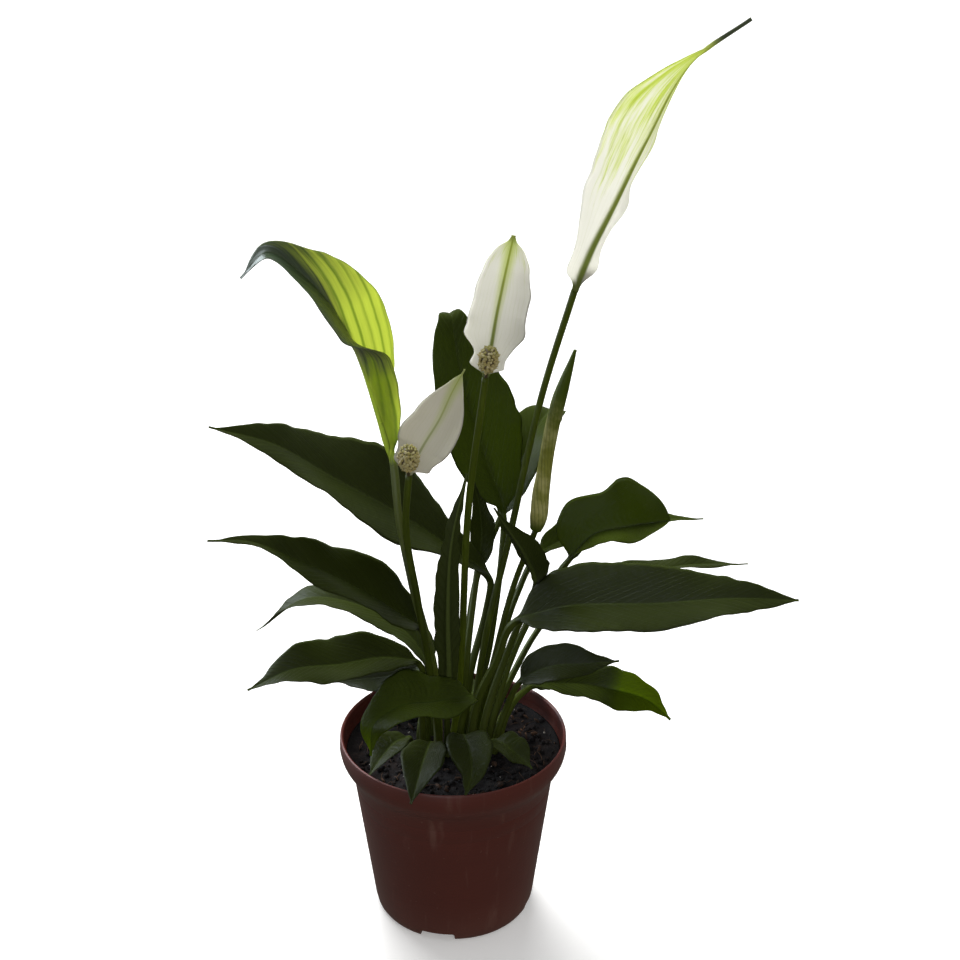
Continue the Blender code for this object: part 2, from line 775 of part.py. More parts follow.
def make_soil():
    """The pot's whole filling, with an upright hole for each stem."""
    mesh = bmesh.new()
    top_radius = POT_INSIDE[1][0] - SIDE_FIT
    rings = []
    for ring in range(1, SOIL_RINGS + 1):
        radius = top_radius * ring / SOIL_RINGS
        rings.append([])
        for step in range(SOIL_STEPS):
            angle = 2 * math.pi * step / SOIL_STEPS
            x = radius * math.cos(angle)
            y = radius * math.sin(angle)
            height = soil_height(x, y) if ring < SOIL_RINGS else POT_INSIDE[1][1]
            rings[-1].append(mesh.verts.new((x, y, height)))
    for radius, height in POT_INSIDE[2:]:
        rings.append([])
        for step in range(SOIL_STEPS):
            angle = 2 * math.pi * step / SOIL_STEPS
            x = (radius - SIDE_FIT) * math.cos(angle)
            y = (radius - SIDE_FIT) * math.sin(angle)
            rings[-1].append(mesh.verts.new((x, y, height + FIT)))
    middle = mesh.verts.new((0, 0, soil_height(0, 0)))
    for step in range(SOIL_STEPS):
        on = (step + 1) % SOIL_STEPS
        mesh.faces.new((middle, rings[0][step], rings[0][on]))
        for inner, outer in zip(rings, rings[1:]):
            mesh.faces.new((inner[step], outer[step], outer[on], inner[on]))
    mesh.faces.new(rings[-1][::-1])
    bmesh.ops.triangulate(mesh, faces=mesh.faces)
    soil = add_object("soil", mesh, material("soil_dark", (0.03, 0.02, 0.018), 0.95))
    holes = bpy.data.collections.new("stem_holes")
    bpy.context.scene.collection.children.link(holes)
    for index, ((x, y), radius) in enumerate(stems()):
        hole = bmesh.new()
        low = SOIL_TOP - ROOT_DEPTH - FIT
        depth = ROOT_DEPTH + FIT + HOLE_HEADROOM
        width = (radius + FIT) / math.cos(math.pi / HOLE_SIDES)
        place = Matrix.Translation((x, y, low + depth / 2))
        bmesh.ops.create_cone(
            hole, cap_ends=True, segments=HOLE_SIDES, radius1=width, radius2=width, depth=depth, matrix=place
        )
        cutter = add_object(f"stem_hole_{index:02d}", hole, soil.data.materials[0])
        hide_cutter(cutter, holes)
    cut(soil, holes)


def hide_cutter(cutter, group):
    bpy.context.collection.objects.unlink(cutter)
    group.objects.link(cutter)
    cutter.hide_render = True
    cutter.display_type = "WIRE"


def cut(body, group):
    boolean = body.modifiers.new("cut", "BOOLEAN")
    boolean.operation = "DIFFERENCE"
    boolean.operand_type = "COLLECTION"
    boolean.collection = group
    boolean.solver = "EXACT"


def make_pot():
    """A spun shell with notches through its foot and drain holes through its floor."""
    mesh = bmesh.new()
    profile = POT_OUTSIDE + POT_INSIDE + [(0.0, FLOOR)]
    chain = [mesh.verts.new((radius, 0.0, height)) for radius, height in profile]
    edges = [mesh.edges.new(pair) for pair in zip(chain, chain[1:])]
    bmesh.ops.spin(
        mesh,
        geom=chain + edges,
        cent=(0, 0, 0),
        axis=(0, 0, 1),
        angle=2 * math.pi,
        steps=POT_STEPS,
        use_merge=True,
    )
    bmesh.ops.remove_doubles(mesh, verts=mesh.verts, dist=0.001)
    bmesh.ops.recalc_face_normals(mesh, faces=mesh.faces)
    pot = add_object("pot", mesh, material("pot_plastic", (0.25, 0.07, 0.045), 0.4))
    cutters = bpy.data.collections.new("pot_cutters")
    bpy.context.scene.collection.children.link(cutters)
    for index in range(NOTCH_COUNT):
        angle = math.radians(NOTCH_AT + 360.0 * index / NOTCH_COUNT)
        block = bmesh.new()
        size = Matrix.Diagonal((NOTCH_LENGTH, NOTCH_WIDTH, 2 * NOTCH_HEIGHT, 1))
        place = Matrix.Translation((BASE_RADIUS * math.cos(angle), BASE_RADIUS * math.sin(angle), 0))
        bmesh.ops.create_cube(block, size=1, matrix=place @ Matrix.Rotation(angle, 4, "Z") @ size)
        hide_cutter(add_object(f"notch_{index}", block, pot.data.materials[0]), cutters)
    for index in range(DRAIN_COUNT):
        angle = 2 * math.pi * (index + 0.5) / DRAIN_COUNT
        middle = (BOSS_RADIUS + SKIRT_RADIUS) / 2
        hole = bmesh.new()
        place = Matrix.Translation((middle * math.cos(angle), middle * math.sin(angle), RAISED_FLOOR))
        bmesh.ops.create_cone(
            hole,
            cap_ends=True,
            segments=DRAIN_SIDES,
            radius1=DRAIN_RADIUS,
            radius2=DRAIN_RADIUS,
            depth=4 * FLOOR,
            matrix=place,
        )
        hide_cutter(add_object(f"drain_{index}", hole, pot.data.materials[0]), cutters)
    cut(pot, cutters)


for old in list(bpy.data.objects):
    bpy.data.objects.remove(old, do_unlink=True)
make_pot()
make_soil()
make_leaves()
make_blooms()
make_bud()
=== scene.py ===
# Potted peace lily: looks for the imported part. Lengths are in millimetres until a mesh is placed.
import math
import random

import bpy
import numpy as np
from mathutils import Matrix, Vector, noise


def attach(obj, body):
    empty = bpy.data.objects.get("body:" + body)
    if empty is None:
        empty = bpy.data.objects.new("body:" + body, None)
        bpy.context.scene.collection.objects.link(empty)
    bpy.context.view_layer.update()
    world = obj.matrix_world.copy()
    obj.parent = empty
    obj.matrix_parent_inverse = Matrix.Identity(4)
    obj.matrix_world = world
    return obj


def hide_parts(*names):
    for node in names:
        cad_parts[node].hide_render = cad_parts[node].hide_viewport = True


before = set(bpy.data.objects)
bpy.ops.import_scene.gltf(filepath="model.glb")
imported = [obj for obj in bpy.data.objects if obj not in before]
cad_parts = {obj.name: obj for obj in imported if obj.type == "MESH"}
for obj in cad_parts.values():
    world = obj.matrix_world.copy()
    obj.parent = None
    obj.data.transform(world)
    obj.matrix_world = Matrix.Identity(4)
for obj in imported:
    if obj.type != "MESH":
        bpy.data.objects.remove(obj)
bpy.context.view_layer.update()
print("frame loaded,", len(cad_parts), "parts")

mm = 0.001
fullTurn = 2 * math.pi
scene = bpy.context.scene

# camera and light
studio = {
    "cameraAt": (0.0143, -0.80, 0.6263),
    "cameraPitch": 25.0,
    "lens": 66.5,
    "floorSize": 30.0,
    "floorColour": (0.90, 0.90, 0.90),
    "floorShade": 0.985,  # of that colour, in the faint clouds on the floor
    "floorGlow": 0.25,
    # a wide soft sun from behind lights the floor evenly and shines through the leaves
    "sunFrom": (-0.35, 1.0, 1.05),
    "sunSpread": 50.0,
    "sunPower": 3.7,
    "sunColour": (1.0, 1.0, 0.99),
    # sky: brightness low in front, and high up behind
    "skyFront": (0.17, 0.16, 0.14),
    "skyBack": (0.52, 0.53, 0.54),
    # name: (place, size in metres, watts, colour); fills give no gloss and windows nothing else
    "softboxes": {
        "frontFill": ((0.3, -1.6, 0.9), 1.2, 6.5, (1.0, 0.97, 0.92)),
        "backFill": ((-0.15, 0.62, 0.88), 0.5, 6.0, (1.0, 1.0, 0.98)),
        "leftWindow": ((-1.3, 0.45, 0.80), 1.5, 50.0, (0.84, 0.92, 1.0)),
        "frontWindow": ((-0.4, -1.5, 0.85), 0.9, 15.0, (0.84, 0.93, 1.0)),
    },
    "aim": (0.0, 0.0, 0.2),
}


def pointAt(place, aim):
    return (Vector(aim) - Vector(place)).to_track_quat("-Z", "Y").to_euler()


def addCamera():
    pitch = math.radians(90 - studio["cameraPitch"])
    bpy.ops.object.camera_add(location=studio["cameraAt"], rotation=(pitch, 0, 0))
    camera = bpy.context.active_object
    camera.name = "mainCamera"
    camera.data.lens = studio["lens"]
    camera.data.sensor_width = 36
    camera.data.clip_start = 0.01
    scene.camera = camera
    scene.view_settings.view_transform = "Standard"


def addLights():
    bpy.ops.object.light_add(type="SUN", rotation=pointAt(studio["sunFrom"], (0, 0, 0)))
    sun = bpy.context.active_object
    sun.name = "softSun"
    sun.data.energy = studio["sunPower"]
    sun.data.angle = math.radians(studio["sunSpread"])
    sun.data.color = studio["sunColour"]
    sun.visible_glossy = False
    for name, (place, size, watts, colour) in studio["softboxes"].items():
        bpy.ops.object.light_add(type="AREA", location=place, rotation=pointAt(place, studio["aim"]))
        light = bpy.context.active_object
        light.name = name
        light.data.shape = "DISK"
        light.data.size = size
        light.data.energy = watts
        light.data.color = colour
        light.visible_camera = False
        light.visible_glossy = name.endswith("Window")
        light.visible_diffuse = name.endswith("Fill")
        light.visible_transmission = name.endswith("Fill")


def addSky():
    world = bpy.data.worlds.new("softWorld")
    world.use_nodes = True
    tree = world.node_tree
    way = addNode(tree, "ShaderNodeTexCoord").outputs["Generated"]
    axes = addNode(tree, "ShaderNodeSeparateXYZ", {0: way})
    rise = scaled(tree, axes.outputs[2], 0.8, times(tree, axes.outputs[1], 0.6))
    colour = blend(tree, step(tree, -0.2, 0.9, rise), studio["skyFront"], studio["skyBack"])
    plug(tree, tree.nodes["Background"], {"Color": colour})
    scene.world = world


def addFloor():
    bpy.ops.mesh.primitive_plane_add(size=studio["floorSize"], location=(0, 0, 0))
    floor = bpy.context.active_object
    floor.name = "studioFloor"
    floor.data.materials.append(floorPaper())
    # the floor throws no light or gloss up at the plant
    floor.visible_diffuse = False
    floor.visible_glossy = False
    floor.visible_transmission = False


def setUpStudio():
    deselectAll()
    addCamera()
    addLights()
    addSky()
    addFloor()
    print("camera, lights and floor set")


# helpers for node materials
def newSurface(name):
    surface = bpy.data.materials.new(name)
    surface.use_nodes = True
    tree = surface.node_tree
    return surface, tree, tree.nodes["Principled BSDF"]


def plug(tree, node, inputs):
    for key, value in inputs.items():
        if isinstance(value, bpy.types.NodeSocket):
            tree.links.new(value, node.inputs[key])
        else:
            node.inputs[key].default_value = value


def addNode(tree, kind, inputs=None, **settings):
    made = tree.nodes.new(kind)
    for key, value in settings.items():
        setattr(made, key, value)
    plug(tree, made, inputs or {})
    return made


def finishWith(tree, shader, colour, roughness, specular):
    plug(tree, shader, {"Base Color": colour, "Roughness": roughness, "Specular IOR Level": specular})


def sums(tree, operation, a, b=0.0, c=0.0, clamp=False):
    made = addNode(tree, "ShaderNodeMath", {0: a, 1: b, 2: c}, operation=operation, use_clamp=clamp)
    return made.outputs[0]


def times(tree, a, b, clamp=False):
    return sums(tree, "MULTIPLY", a, b, clamp=clamp)


def scaled(tree, value, by, plus, clamp=False):  # value times by, and plus added
    return sums(tree, "MULTIPLY_ADD", value, by, plus, clamp)


def step(tree, low, high, value):  # an even rise from 0 at low to 1 at high, or a fall where low is greater
    inputs = {"Value": value, "From Min": low, "From Max": high}
    return addNode(tree, "ShaderNodeMapRange", inputs, interpolation_type="SMOOTHSTEP").outputs[0]


def fromLine(tree, value):  # 0.5 on the lines, which lie at whole numbers, and 0 half way between them
    return sums(tree, "ABSOLUTE", sums(tree, "SUBTRACT", sums(tree, "FRACT", value), 0.5))


def blend(tree, share, a, b):  # colour a where share is 0 and b where it is 1
    a, b = [end if isinstance(end, bpy.types.NodeSocket) else (*end, 1.0) for end in (a, b)]
    return addNode(tree, "ShaderNodeMix", {0: share, 6: a, 7: b}, data_type="RGBA").outputs[2]


def shaded(colour, shares):
    return tuple(c * share for c, share in zip(colour, shares))


def trait(tree, name):
    return addNode(tree, "ShaderNodeAttribute", attribute_name=name).outputs["Fac"]


def objectPlace(tree):
    return addNode(tree, "ShaderNodeTexCoord").outputs["Object"]


def grain(tree, place, scale, detail=3.0, roughness=0.55, stretch=(1, 1, 1)):
    if stretch != (1, 1, 1):
        place = addNode(tree, "ShaderNodeMapping", {"Vector": place, "Scale": stretch}).outputs[0]
    inputs = {"Vector": place, "Scale": scale, "Detail": detail, "Roughness": roughness}
    return addNode(tree, "ShaderNodeTexNoise", inputs).outputs["Fac"]


def relief(tree, shader, height, depth):  # height runs from 0 to 1 and depth is in millimetres
    bump = addNode(tree, "ShaderNodeBump", {"Height": height, "Distance": depth * mm, "Strength": 1.0})
    plug(tree, shader, {"Normal": bump.outputs[0]})
    return bump.outputs[0]


# mixes light that comes through from behind into a surface
def letThrough(tree, shader, share, colour, normal=None):
    facing = {} if normal is None else {"Normal": normal}
    glow = addNode(tree, "ShaderNodeBsdfTranslucent", {"Color": colour, **facing})
    mixed = addNode(tree, "ShaderNodeMixShader", {0: share, 1: shader.outputs[0], 2: glow.outputs[0]})
    plug(tree, tree.nodes["Material Output"], {"Surface": mixed.outputs[0]})


def floorPaper():
    surface, tree, shader = newSurface("floorPaper")
    cloud = grain(tree, objectPlace(tree), 3.0)
    pale = studio["floorColour"]
    colour = blend(tree, cloud, shaded(pale, [studio["floorShade"]] * 3), pale)
    finishWith(tree, shader, colour, 0.9, 0.0)
    # a little light of its own keeps the shadow on it soft
    plug(tree, shader, {"Emission Color": (1, 1, 1, 1), "Emission Strength": studio["floorGlow"]})
    return surface


# helpers for meshes
def deselectAll():
    if bpy.context.mode != "OBJECT":
        bpy.ops.object.mode_set(mode="OBJECT")
    bpy.ops.object.select_all(action="DESELECT")


def pick(piece):
    deselectAll()
    piece.select_set(True)
    bpy.context.view_layer.objects.active = piece


def applyModifier(piece, kind, **settings):
    pick(piece)
    made = piece.modifiers.new(kind.lower(), kind)
    for key, value in settings.items():
        setattr(made, key, value)
    bpy.ops.object.modifier_apply(modifier=made.name)


def applyPlace():
    bpy.ops.object.transform_apply(location=True, rotation=True, scale=True)


def faceOutwards():  # the mesh in edit mode, which this leaves
    bpy.ops.mesh.select_all(action="SELECT")
    bpy.ops.mesh.normals_make_consistent(inside=False)
    bpy.ops.object.mode_set(mode="OBJECT")


def ease(low, high, value):  # 0 at low, 1 at high, and an even S between them
    share = np.clip((np.asarray(value, float) - low) / (high - low), 0.0, 1.0)
    return share * share * (3.0 - 2.0 * share)


def hump(middle, spread, value):
    return np.exp(-(((np.asarray(value, float) - middle) / spread) ** 2))


def between(pair, share):
    return pair[0] + (pair[1] - pair[0]) * np.asarray(share)


def lengthOf(points):
    return np.linalg.norm(np.diff(points, axis=0), axis=1).sum()


stepsPerSpan = 40  # places on a smooth curve from each of its points to the next


# close points on a smooth curve through the given ones, which sets off along start
def curveThrough(points, start, steps=stepsPerSpan):
    points = np.array(points, float)
    gaps = np.linalg.norm(np.diff(points, axis=0), axis=1)
    tangents = [np.array(start, float) / np.linalg.norm(start)]
    for i in range(1, len(points) - 1):
        before = (points[i] - points[i - 1]) / gaps[i - 1]
        after = (points[i + 1] - points[i]) / gaps[i]
        tangents.append((before * gaps[i] + after * gaps[i - 1]) / (gaps[i - 1] + gaps[i]))
    tangents.append((points[-1] - points[-2]) / gaps[-1])
    t = np.arange(steps)[:, None] / steps
    parts = []
    for i, gap in enumerate(gaps):
        parts.append(
            points[i] * (1 + 2 * t) * (1 - t) ** 2
            + tangents[i] * gap * t * (1 - t) ** 2
            + points[i + 1] * t * t * (3 - 2 * t)
            - tangents[i + 1] * gap * t * t * (1 - t)
        )
    return np.concatenate([*parts, points[-1:]])


# places and directions at shares of the way between two points of dense, and how far along they lie
def walk(dense, first, last, shares):
    gone = np.concatenate([[0.0], np.cumsum(np.linalg.norm(np.diff(dense, axis=0), axis=1))])
    at = gone[first] + (gone[last] - gone[first]) * np.asarray(shares)
    slopes = np.gradient(dense, gone, axis=0)
    places = np.stack([np.interp(at, gone, dense[:, k]) for k in range(3)], 1)
    ways = np.stack([np.interp(at, gone, slopes[:, k]) for k in range(3)], 1)
    ways /= np.linalg.norm(ways, axis=1)[:, None]
    return places, ways, at - at[0]


# side lies to the left of heading and up is square to it, both turned about the way by roll degrees
def framesAlong(ways, heading, roll=0.0):
    left = np.array([-math.sin(heading), math.cos(heading), 0.0])
    side = left - ways * (ways @ left)[:, None]
    side /= np.linalg.norm(side, axis=1)[:, None]
    up = np.cross(ways, side)
    turn = np.radians(np.broadcast_to(roll, len(ways)))[:, None]
    return side * np.cos(turn) + up * np.sin(turn), up * np.cos(turn) - side * np.sin(turn)


# rows of rings, where angles is one row or one row for each place
def ringsAlong(places, side, up, angles, sideRadius, upRadius=None):
    upRadius = sideRadius if upRadius is None else upRadius
    a = np.broadcast_to(angles, (len(places), np.shape(angles)[-1]))[..., None]
    sideRadius = np.broadcast_to(sideRadius, a.shape[:2])[..., None]
    upRadius = np.broadcast_to(upRadius, a.shape[:2])[..., None]
    return places[:, None] + side[:, None] * np.cos(a) * sideRadius + up[:, None] * np.sin(a) * upRadius


# smooth noise from -1 to 1 at rows of points, with lumps of that size
def roughness3(points, size, seed):
    flat = np.reshape(points, (-1, 3)) / size + seed
    return np.array([noise.noise(Vector(p)) for p in flat]).reshape(np.shape(points)[:-1])


def addTrait(piece, name, values):
    held = piece.data.attributes.new(name, "FLOAT", "POINT")
    held.data.foreach_set("value", np.ravel(values).astype(np.float32))


# a closed body over rows of rings, each of which ends where it begins
def loft(name, rows, traits=None):
    deselectAll()
    high, wide = rows.shape[:2]
    bpy.ops.mesh.primitive_grid_add(x_subdivisions=wide - 1, y_subdivisions=high - 1, size=2, calc_uvs=True)
    piece = bpy.context.active_object
    piece.name = name
    piece.data.name = name
    piece.data.vertices.foreach_set("co", (rows * mm).astype(np.float32).ravel())
    for key, values in (traits or {}).items():
        addTrait(piece, key, np.broadcast_to(values, (high, wide)))
    piece.data.update()
    bpy.ops.object.mode_set(mode="EDIT")
    bpy.ops.mesh.select_mode(type="VERT")
    bpy.ops.mesh.select_all(action="SELECT")
    bpy.ops.mesh.remove_doubles(threshold=1e-6)
    bpy.ops.mesh.select_all(action="DESELECT")
    bpy.ops.mesh.select_non_manifold()
    bpy.ops.mesh.fill_holes(sides=0)
    faceOutwards()
    bpy.ops.object.shade_smooth()
    return piece


def pieceFrom(name, points, faces):
    data = bpy.data.meshes.new(name)
    data.from_pydata(np.concatenate(points) * mm, [], faces)
    piece = bpy.data.objects.new(name, data)
    scene.collection.objects.link(piece)
    pick(piece)
    bpy.ops.object.shade_smooth()
    return piece


# one piece made of seed, a (points, faces) pair, at each (place, three axes) of places
def copies(name, seed, places, traits):
    points, faces = seed
    allPoints = [points @ np.array(axes) + np.array(place) for place, axes in places]
    allFaces = []
    for index in range(len(places)):
        allFaces += [[corner + index * len(points) for corner in face] for face in faces]
    piece = pieceFrom(name, allPoints, allFaces)
    for key, values in traits.items():
        addTrait(piece, key, np.repeat(np.array(values, np.float32), len(points)))
    return piece


def takeSeed():  # takes the active object's mesh away as a (points, faces) pair
    piece = bpy.context.active_object
    points = np.array([vertex.co[:] for vertex in piece.data.vertices]) / mm
    faces = [list(face.vertices) for face in piece.data.polygons]
    data = piece.data
    bpy.data.objects.remove(piece)
    bpy.data.meshes.remove(data)
    return points, faces


def hand(piece, surface, slot, *nodes):
    piece.data.materials.clear()
    piece.data.materials.append(surface)
    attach(piece, "root")
    if nodes:
        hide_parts(*nodes)


# nursery pot
pot = {
    "sides": 144,
    "raisedFloor": 7.2,
    # (radius, height) from the middle of the inside, up to the rim and down to the foot
    "inside": [(16.0, 2.0), (18.0, 7.2), (40.0, 7.2), (41.9, 9.6)],
    "collarInside": [(51.8, 82.0), (53.3, 87.8), (55.8, 91.8), (57.6, 95.6), (58.4, 99.0)],
    "collarSpans": 4,
    "rim": [(58.4, 104.9), (58.8, 105.6), (59.4, 106.0), (59.9, 105.7), (60.2, 105.0)],
    "collarOutside": [(60.5, 99.0), (59.6, 95.0), (57.6, 91.0), (55.0, 87.0), (53.4, 82.0)],
    # height and depth of the faint steps turned into the body, and (rise, share of the depth) across one
    "lines": [(79.0, 0.12), (70.5, 0.10)],
    "lineForm": [(0.7, 0.0), (0.25, 1.0), (-0.25, 1.0), (-0.7, 0.0)],
    "bodyTop": (53.4, 82.0),
    "bodyRings": [60.0, 48.0, 36.0, 24.0, 14.0],
    "bodyFoot": (43.6, 7.0),
    "foot": [(42.6, 2.6), (41.4, 0.7), (40.2, 0.0), (37.4, 0.0), (37.4, 5.2), (20.0, 5.2), (18.0, 0.0)],
    "notches": 4,
    "notchAt": 258.0,
    "notchReach": 40.2,
    # through the foot, along it and in height, half of it below the pot
    "notchSize": (9.0, 19.0, 10.0),
    "notchBevel": 1.2,
    "drains": 6,
    "drainReach": 27.7,
    "drainRadius": 3.5,
    "drainDepth": 8.0,
    "smoothAngle": 35.0,
    "colour": (0.122, 0.028, 0.020),
    "deepColour": (0.086, 0.019, 0.014),
    "dust": (0.24, 0.14, 0.11),
    "roughness": 0.42,
}


def softened(points):  # a smooth run through (radius, height) points
    start = np.array([*np.subtract(points[1], points[0]), 0.0])
    flat = curveThrough([(*point, 0.0) for point in points], start, pot["collarSpans"])
    return [tuple(point[:2]) for point in flat]


def potProfile():
    (topRadius, topHeight), (footRadius, footHeight) = pot["bodyTop"], pot["bodyFoot"]

    def wallAt(height):
        return footRadius + (topRadius - footRadius) * (height - footHeight) / (topHeight - footHeight)

    body = []
    for height, depth in pot["lines"]:
        for lift, share in pot["lineForm"]:
            body.append((wallAt(height + lift) - depth * share, height + lift))
    body += [(wallAt(height), height) for height in pot["bodyRings"]]
    collar = softened(pot["collarInside"]) + pot["rim"] + softened(pot["collarOutside"])
    return pot["inside"] + collar + body + [pot["bodyFoot"]] + pot["foot"]


def closeRing(piece, radius, height):  # fills the ring of points at a radius and height
    bpy.ops.object.mode_set(mode="OBJECT")
    for vertex in piece.data.vertices:
        reach = math.hypot(vertex.co.x, vertex.co.y)
        vertex.select = abs(reach - radius * mm) < 1e-5 and abs(vertex.co.z - height * mm) < 1e-5
    bpy.ops.object.mode_set(mode="EDIT")
    bpy.ops.mesh.edge_face_add()


def makePot():
    deselectAll()
    profile = potProfile()
    radius, height = profile[0]
    bpy.ops.mesh.primitive_circle_add(vertices=pot["sides"], radius=radius * mm, location=(0, 0, height * mm))
    piece = bpy.context.active_object
    piece.name = "nurseryPot"
    applyPlace()
    bpy.ops.object.mode_set(mode="EDIT")
    bpy.ops.mesh.select_mode(type="VERT")
    bpy.ops.mesh.select_all(action="SELECT")
    for nextRadius, nextHeight in profile[1:]:
        rise = (0, 0, (nextHeight - height) * mm)
        bpy.ops.mesh.extrude_region_move(TRANSFORM_OT_translate={"value": rise})
        share = nextRadius / radius
        bpy.ops.transform.resize(value=(share, share, 1), center_override=(0, 0, nextHeight * mm))
        radius, height = nextRadius, nextHeight
    closeRing(piece, *profile[-1])
    closeRing(piece, *profile[0])
    faceOutwards()
    for cutter in notchCutters() + drainCutters():
        applyModifier(piece, "BOOLEAN", operation="DIFFERENCE", object=cutter, solver="EXACT")
        bpy.data.objects.remove(cutter)
    pick(piece)
    bpy.ops.object.shade_smooth_by_angle(angle=math.radians(pot["smoothAngle"]))
    hand(piece, potPlastic(), "pot", "pot")
    print("pot made,", len(piece.data.polygons), "faces")


def onCircle(reach, angle, height=0.0):
    return (reach * mm * math.cos(angle), reach * mm * math.sin(angle), height * mm)


def notchCutters():
    cutters = []
    for index in range(pot["notches"]):
        angle = math.radians(pot["notchAt"] + 360 * index / pot["notches"])
        at = onCircle(pot["notchReach"], angle)
        deselectAll()
        bpy.ops.mesh.primitive_cube_add(size=1, location=at, rotation=(0, 0, angle))
        block = bpy.context.active_object
        block.scale = [side * mm for side in pot["notchSize"]]
        applyPlace()
        applyModifier(block, "BEVEL", width=pot["notchBevel"] * mm, segments=3)
        cutters.append(block)
    return cutters


def drainCutters():
    cutters = []
    for index in range(pot["drains"]):
        at = onCircle(pot["drainReach"], fullTurn * (index + 0.5) / pot["drains"], pot["raisedFloor"])
        size = {"radius": pot["drainRadius"] * mm, "depth": pot["drainDepth"] * mm}
        deselectAll()
        bpy.ops.mesh.primitive_cylinder_add(vertices=24, location=at, **size)
        applyPlace()
        cutters.append(bpy.context.active_object)
    return cutters


def potPlastic():
    surface, tree, shader = newSurface("potPlastic")
    place = objectPlace(tree)
    height = addNode(tree, "ShaderNodeSeparateXYZ", {0: place}).outputs[2]
    cloud = grain(tree, place, 22.0, 5.0, 0.6)
    streaks = grain(tree, place, 160.0, 4.0, 0.6, (1.0, 1.0, 0.12))
    pits = grain(tree, place, 1500.0, 2.0)
    colour = blend(tree, cloud, pot["deepColour"], pot["colour"])
    # dust lies in streaks down the side, low on the body and in specks
    dusty = times(tree, step(tree, 0.56, 0.8, streaks), 0.3)
    low = times(tree, step(tree, 0.03, 0.0, height), times(tree, cloud, 0.25))
    dusty = sums(tree, "ADD", dusty, low, clamp=True)
    colour = blend(tree, dusty, colour, pot["dust"])
    specks = step(tree, 0.70, 0.76, grain(tree, place, 420.0, 2.0, 0.7))
    colour = blend(tree, times(tree, specks, 0.35), colour, pot["dust"])
    rough = scaled(tree, streaks, 0.18, pot["roughness"] - 0.06)
    finishWith(tree, shader, colour, scaled(tree, dusty, 0.3, rough), 0.3)
    # fine rings round the body, about 2.4 mm apart
    rings = sums(tree, "SINE", times(tree, height, 2600.0))
    bumps = scaled(tree, pits, 0.5, scaled(tree, rings, 0.12, streaks))
    relief(tree, shader, bumps, 0.05)
    return surface


# potting soil
soil = {
    "top": 94.0,
    "sides": 180,
    "rings": 54,
    "waves": (4.1, 5.3, 6.7),
    # (height, size, seed) of the finer lumps in the ground
    "lumpiness": [(0.9, 3.0, 7.3), (0.5, 1.3, 2.1)],
    "rimFrom": 0.93,  # share of the radius past which the ground meets the wall
    # inner wall of the pot, less the room left beside it
    "wall": [
        (57.1, 95.6), (55.3, 92.1), (52.8, 88.1), (51.3, 82.3),
        (41.4, 9.9), (39.5, 7.5), (17.5, 7.5), (15.5, 2.3),
    ],
    "reach": 55.5,  # of what lies on the soil
    "stemRoom": 2.6,  # from the middle of a stem
    # form is a lump's length, width and height, and lift the share of its size that it stands up
    "lumps": {
        "soilCrumbs": dict(count=620, sizes=(1.0, 4.2), form=(1, 1, 1), seed=3, lift=0.15, clear=0.6),
        "barkChips": dict(count=90, sizes=(2.0, 5.5), form=(1.6, 0.8, 0.35), seed=5, lift=0.2, clear=1.5),
        "perliteGrains": dict(count=26, sizes=(0.8, 2.0), form=(1, 0.9, 0.8), seed=8, lift=0.25, clear=0.5),
    },
    "fibres": {
        "count": 130,
        "places": 9,
        "sides": 5,
        "length": (3.0, 13.0),
        "thick": (0.07, 0.2),
        "bend": 1.2,
        "reach": 54.0,
        "edge": 56.0,
        "clear": 1.5,
        "stemRoom": 2.8,
        "lift": 0.75,
        "arch": 1.4,
    },
    # piece: (its material, dark, pale, where the pale starts, how soon it is full, depth of the relief)
    "finishes": {
        "pottingSoil": ("peat", (0.0050, 0.0040, 0.0042), (0.013, 0.0085, 0.0070), 0.45, 0.2, 0.5),
        "soilCrumbs": ("crumbSoil", (0.0050, 0.0040, 0.0042), (0.013, 0.0085, 0.0070), 0.42, 0.25, 0.25),
        "barkChips": ("barkBrown", (0.03, 0.016, 0.01), (0.10, 0.055, 0.032), 0.4, 0.3, 0.2),
        "perliteGrains": ("perliteWhite", (0.36, 0.34, 0.31), (0.62, 0.60, 0.57), 0.4, 0.3, 0.15),
        "soilFibres": ("fibreStraw", (0.045, 0.026, 0.016), (0.085, 0.05, 0.03), 0.35, 0.3, 0.03),
    },
}


def soilHeight(x, y):
    short, middle, long = soil["waves"]
    rough = np.sin(x / short + 1.0) * np.cos(y / middle) + 0.6 * np.sin((x + 1.7 * y) / long)
    return soil["top"] + rough


def makeSoil():
    turns = np.linspace(0, fullTurn, soil["sides"] + 1)
    edge, edgeHeight = soil["wall"][0]
    reach = np.linspace(0.0, 1.0, soil["rings"] + 1)[:, None] * edge
    x = reach * np.cos(turns)
    y = reach * np.sin(turns)
    flat = np.stack([x, y, np.zeros_like(x)], 2)
    height = soilHeight(x, y)
    height += sum(size * roughness3(flat, lump, seed) for size, lump, seed in soil["lumpiness"])
    rim = ease(soil["rimFrom"], 1.0, reach / edge)
    height = height * (1 - rim) + edgeHeight * rim
    rows = [np.stack([x, y, height], 2)]
    for radius, level in soil["wall"][1:]:
        ring = [radius * np.cos(turns), radius * np.sin(turns), np.full_like(turns, level)]
        rows.append(np.stack(ring, 1)[None])
    piece = loft("pottingSoil", np.concatenate(rows))
    hand(piece, soilSurface("pottingSoil"), "soil", "soil")
    scatterOnSoil()
    print("soil made")


def lumpSeed(form, seed):
    deselectAll()
    bpy.ops.mesh.primitive_ico_sphere_add(subdivisions=1, radius=0.5 * mm)
    points, faces = takeSeed()
    rng = np.random.default_rng(seed)
    return points * np.array(form) * rng.uniform(0.72, 1.15, (len(points), 1)), faces


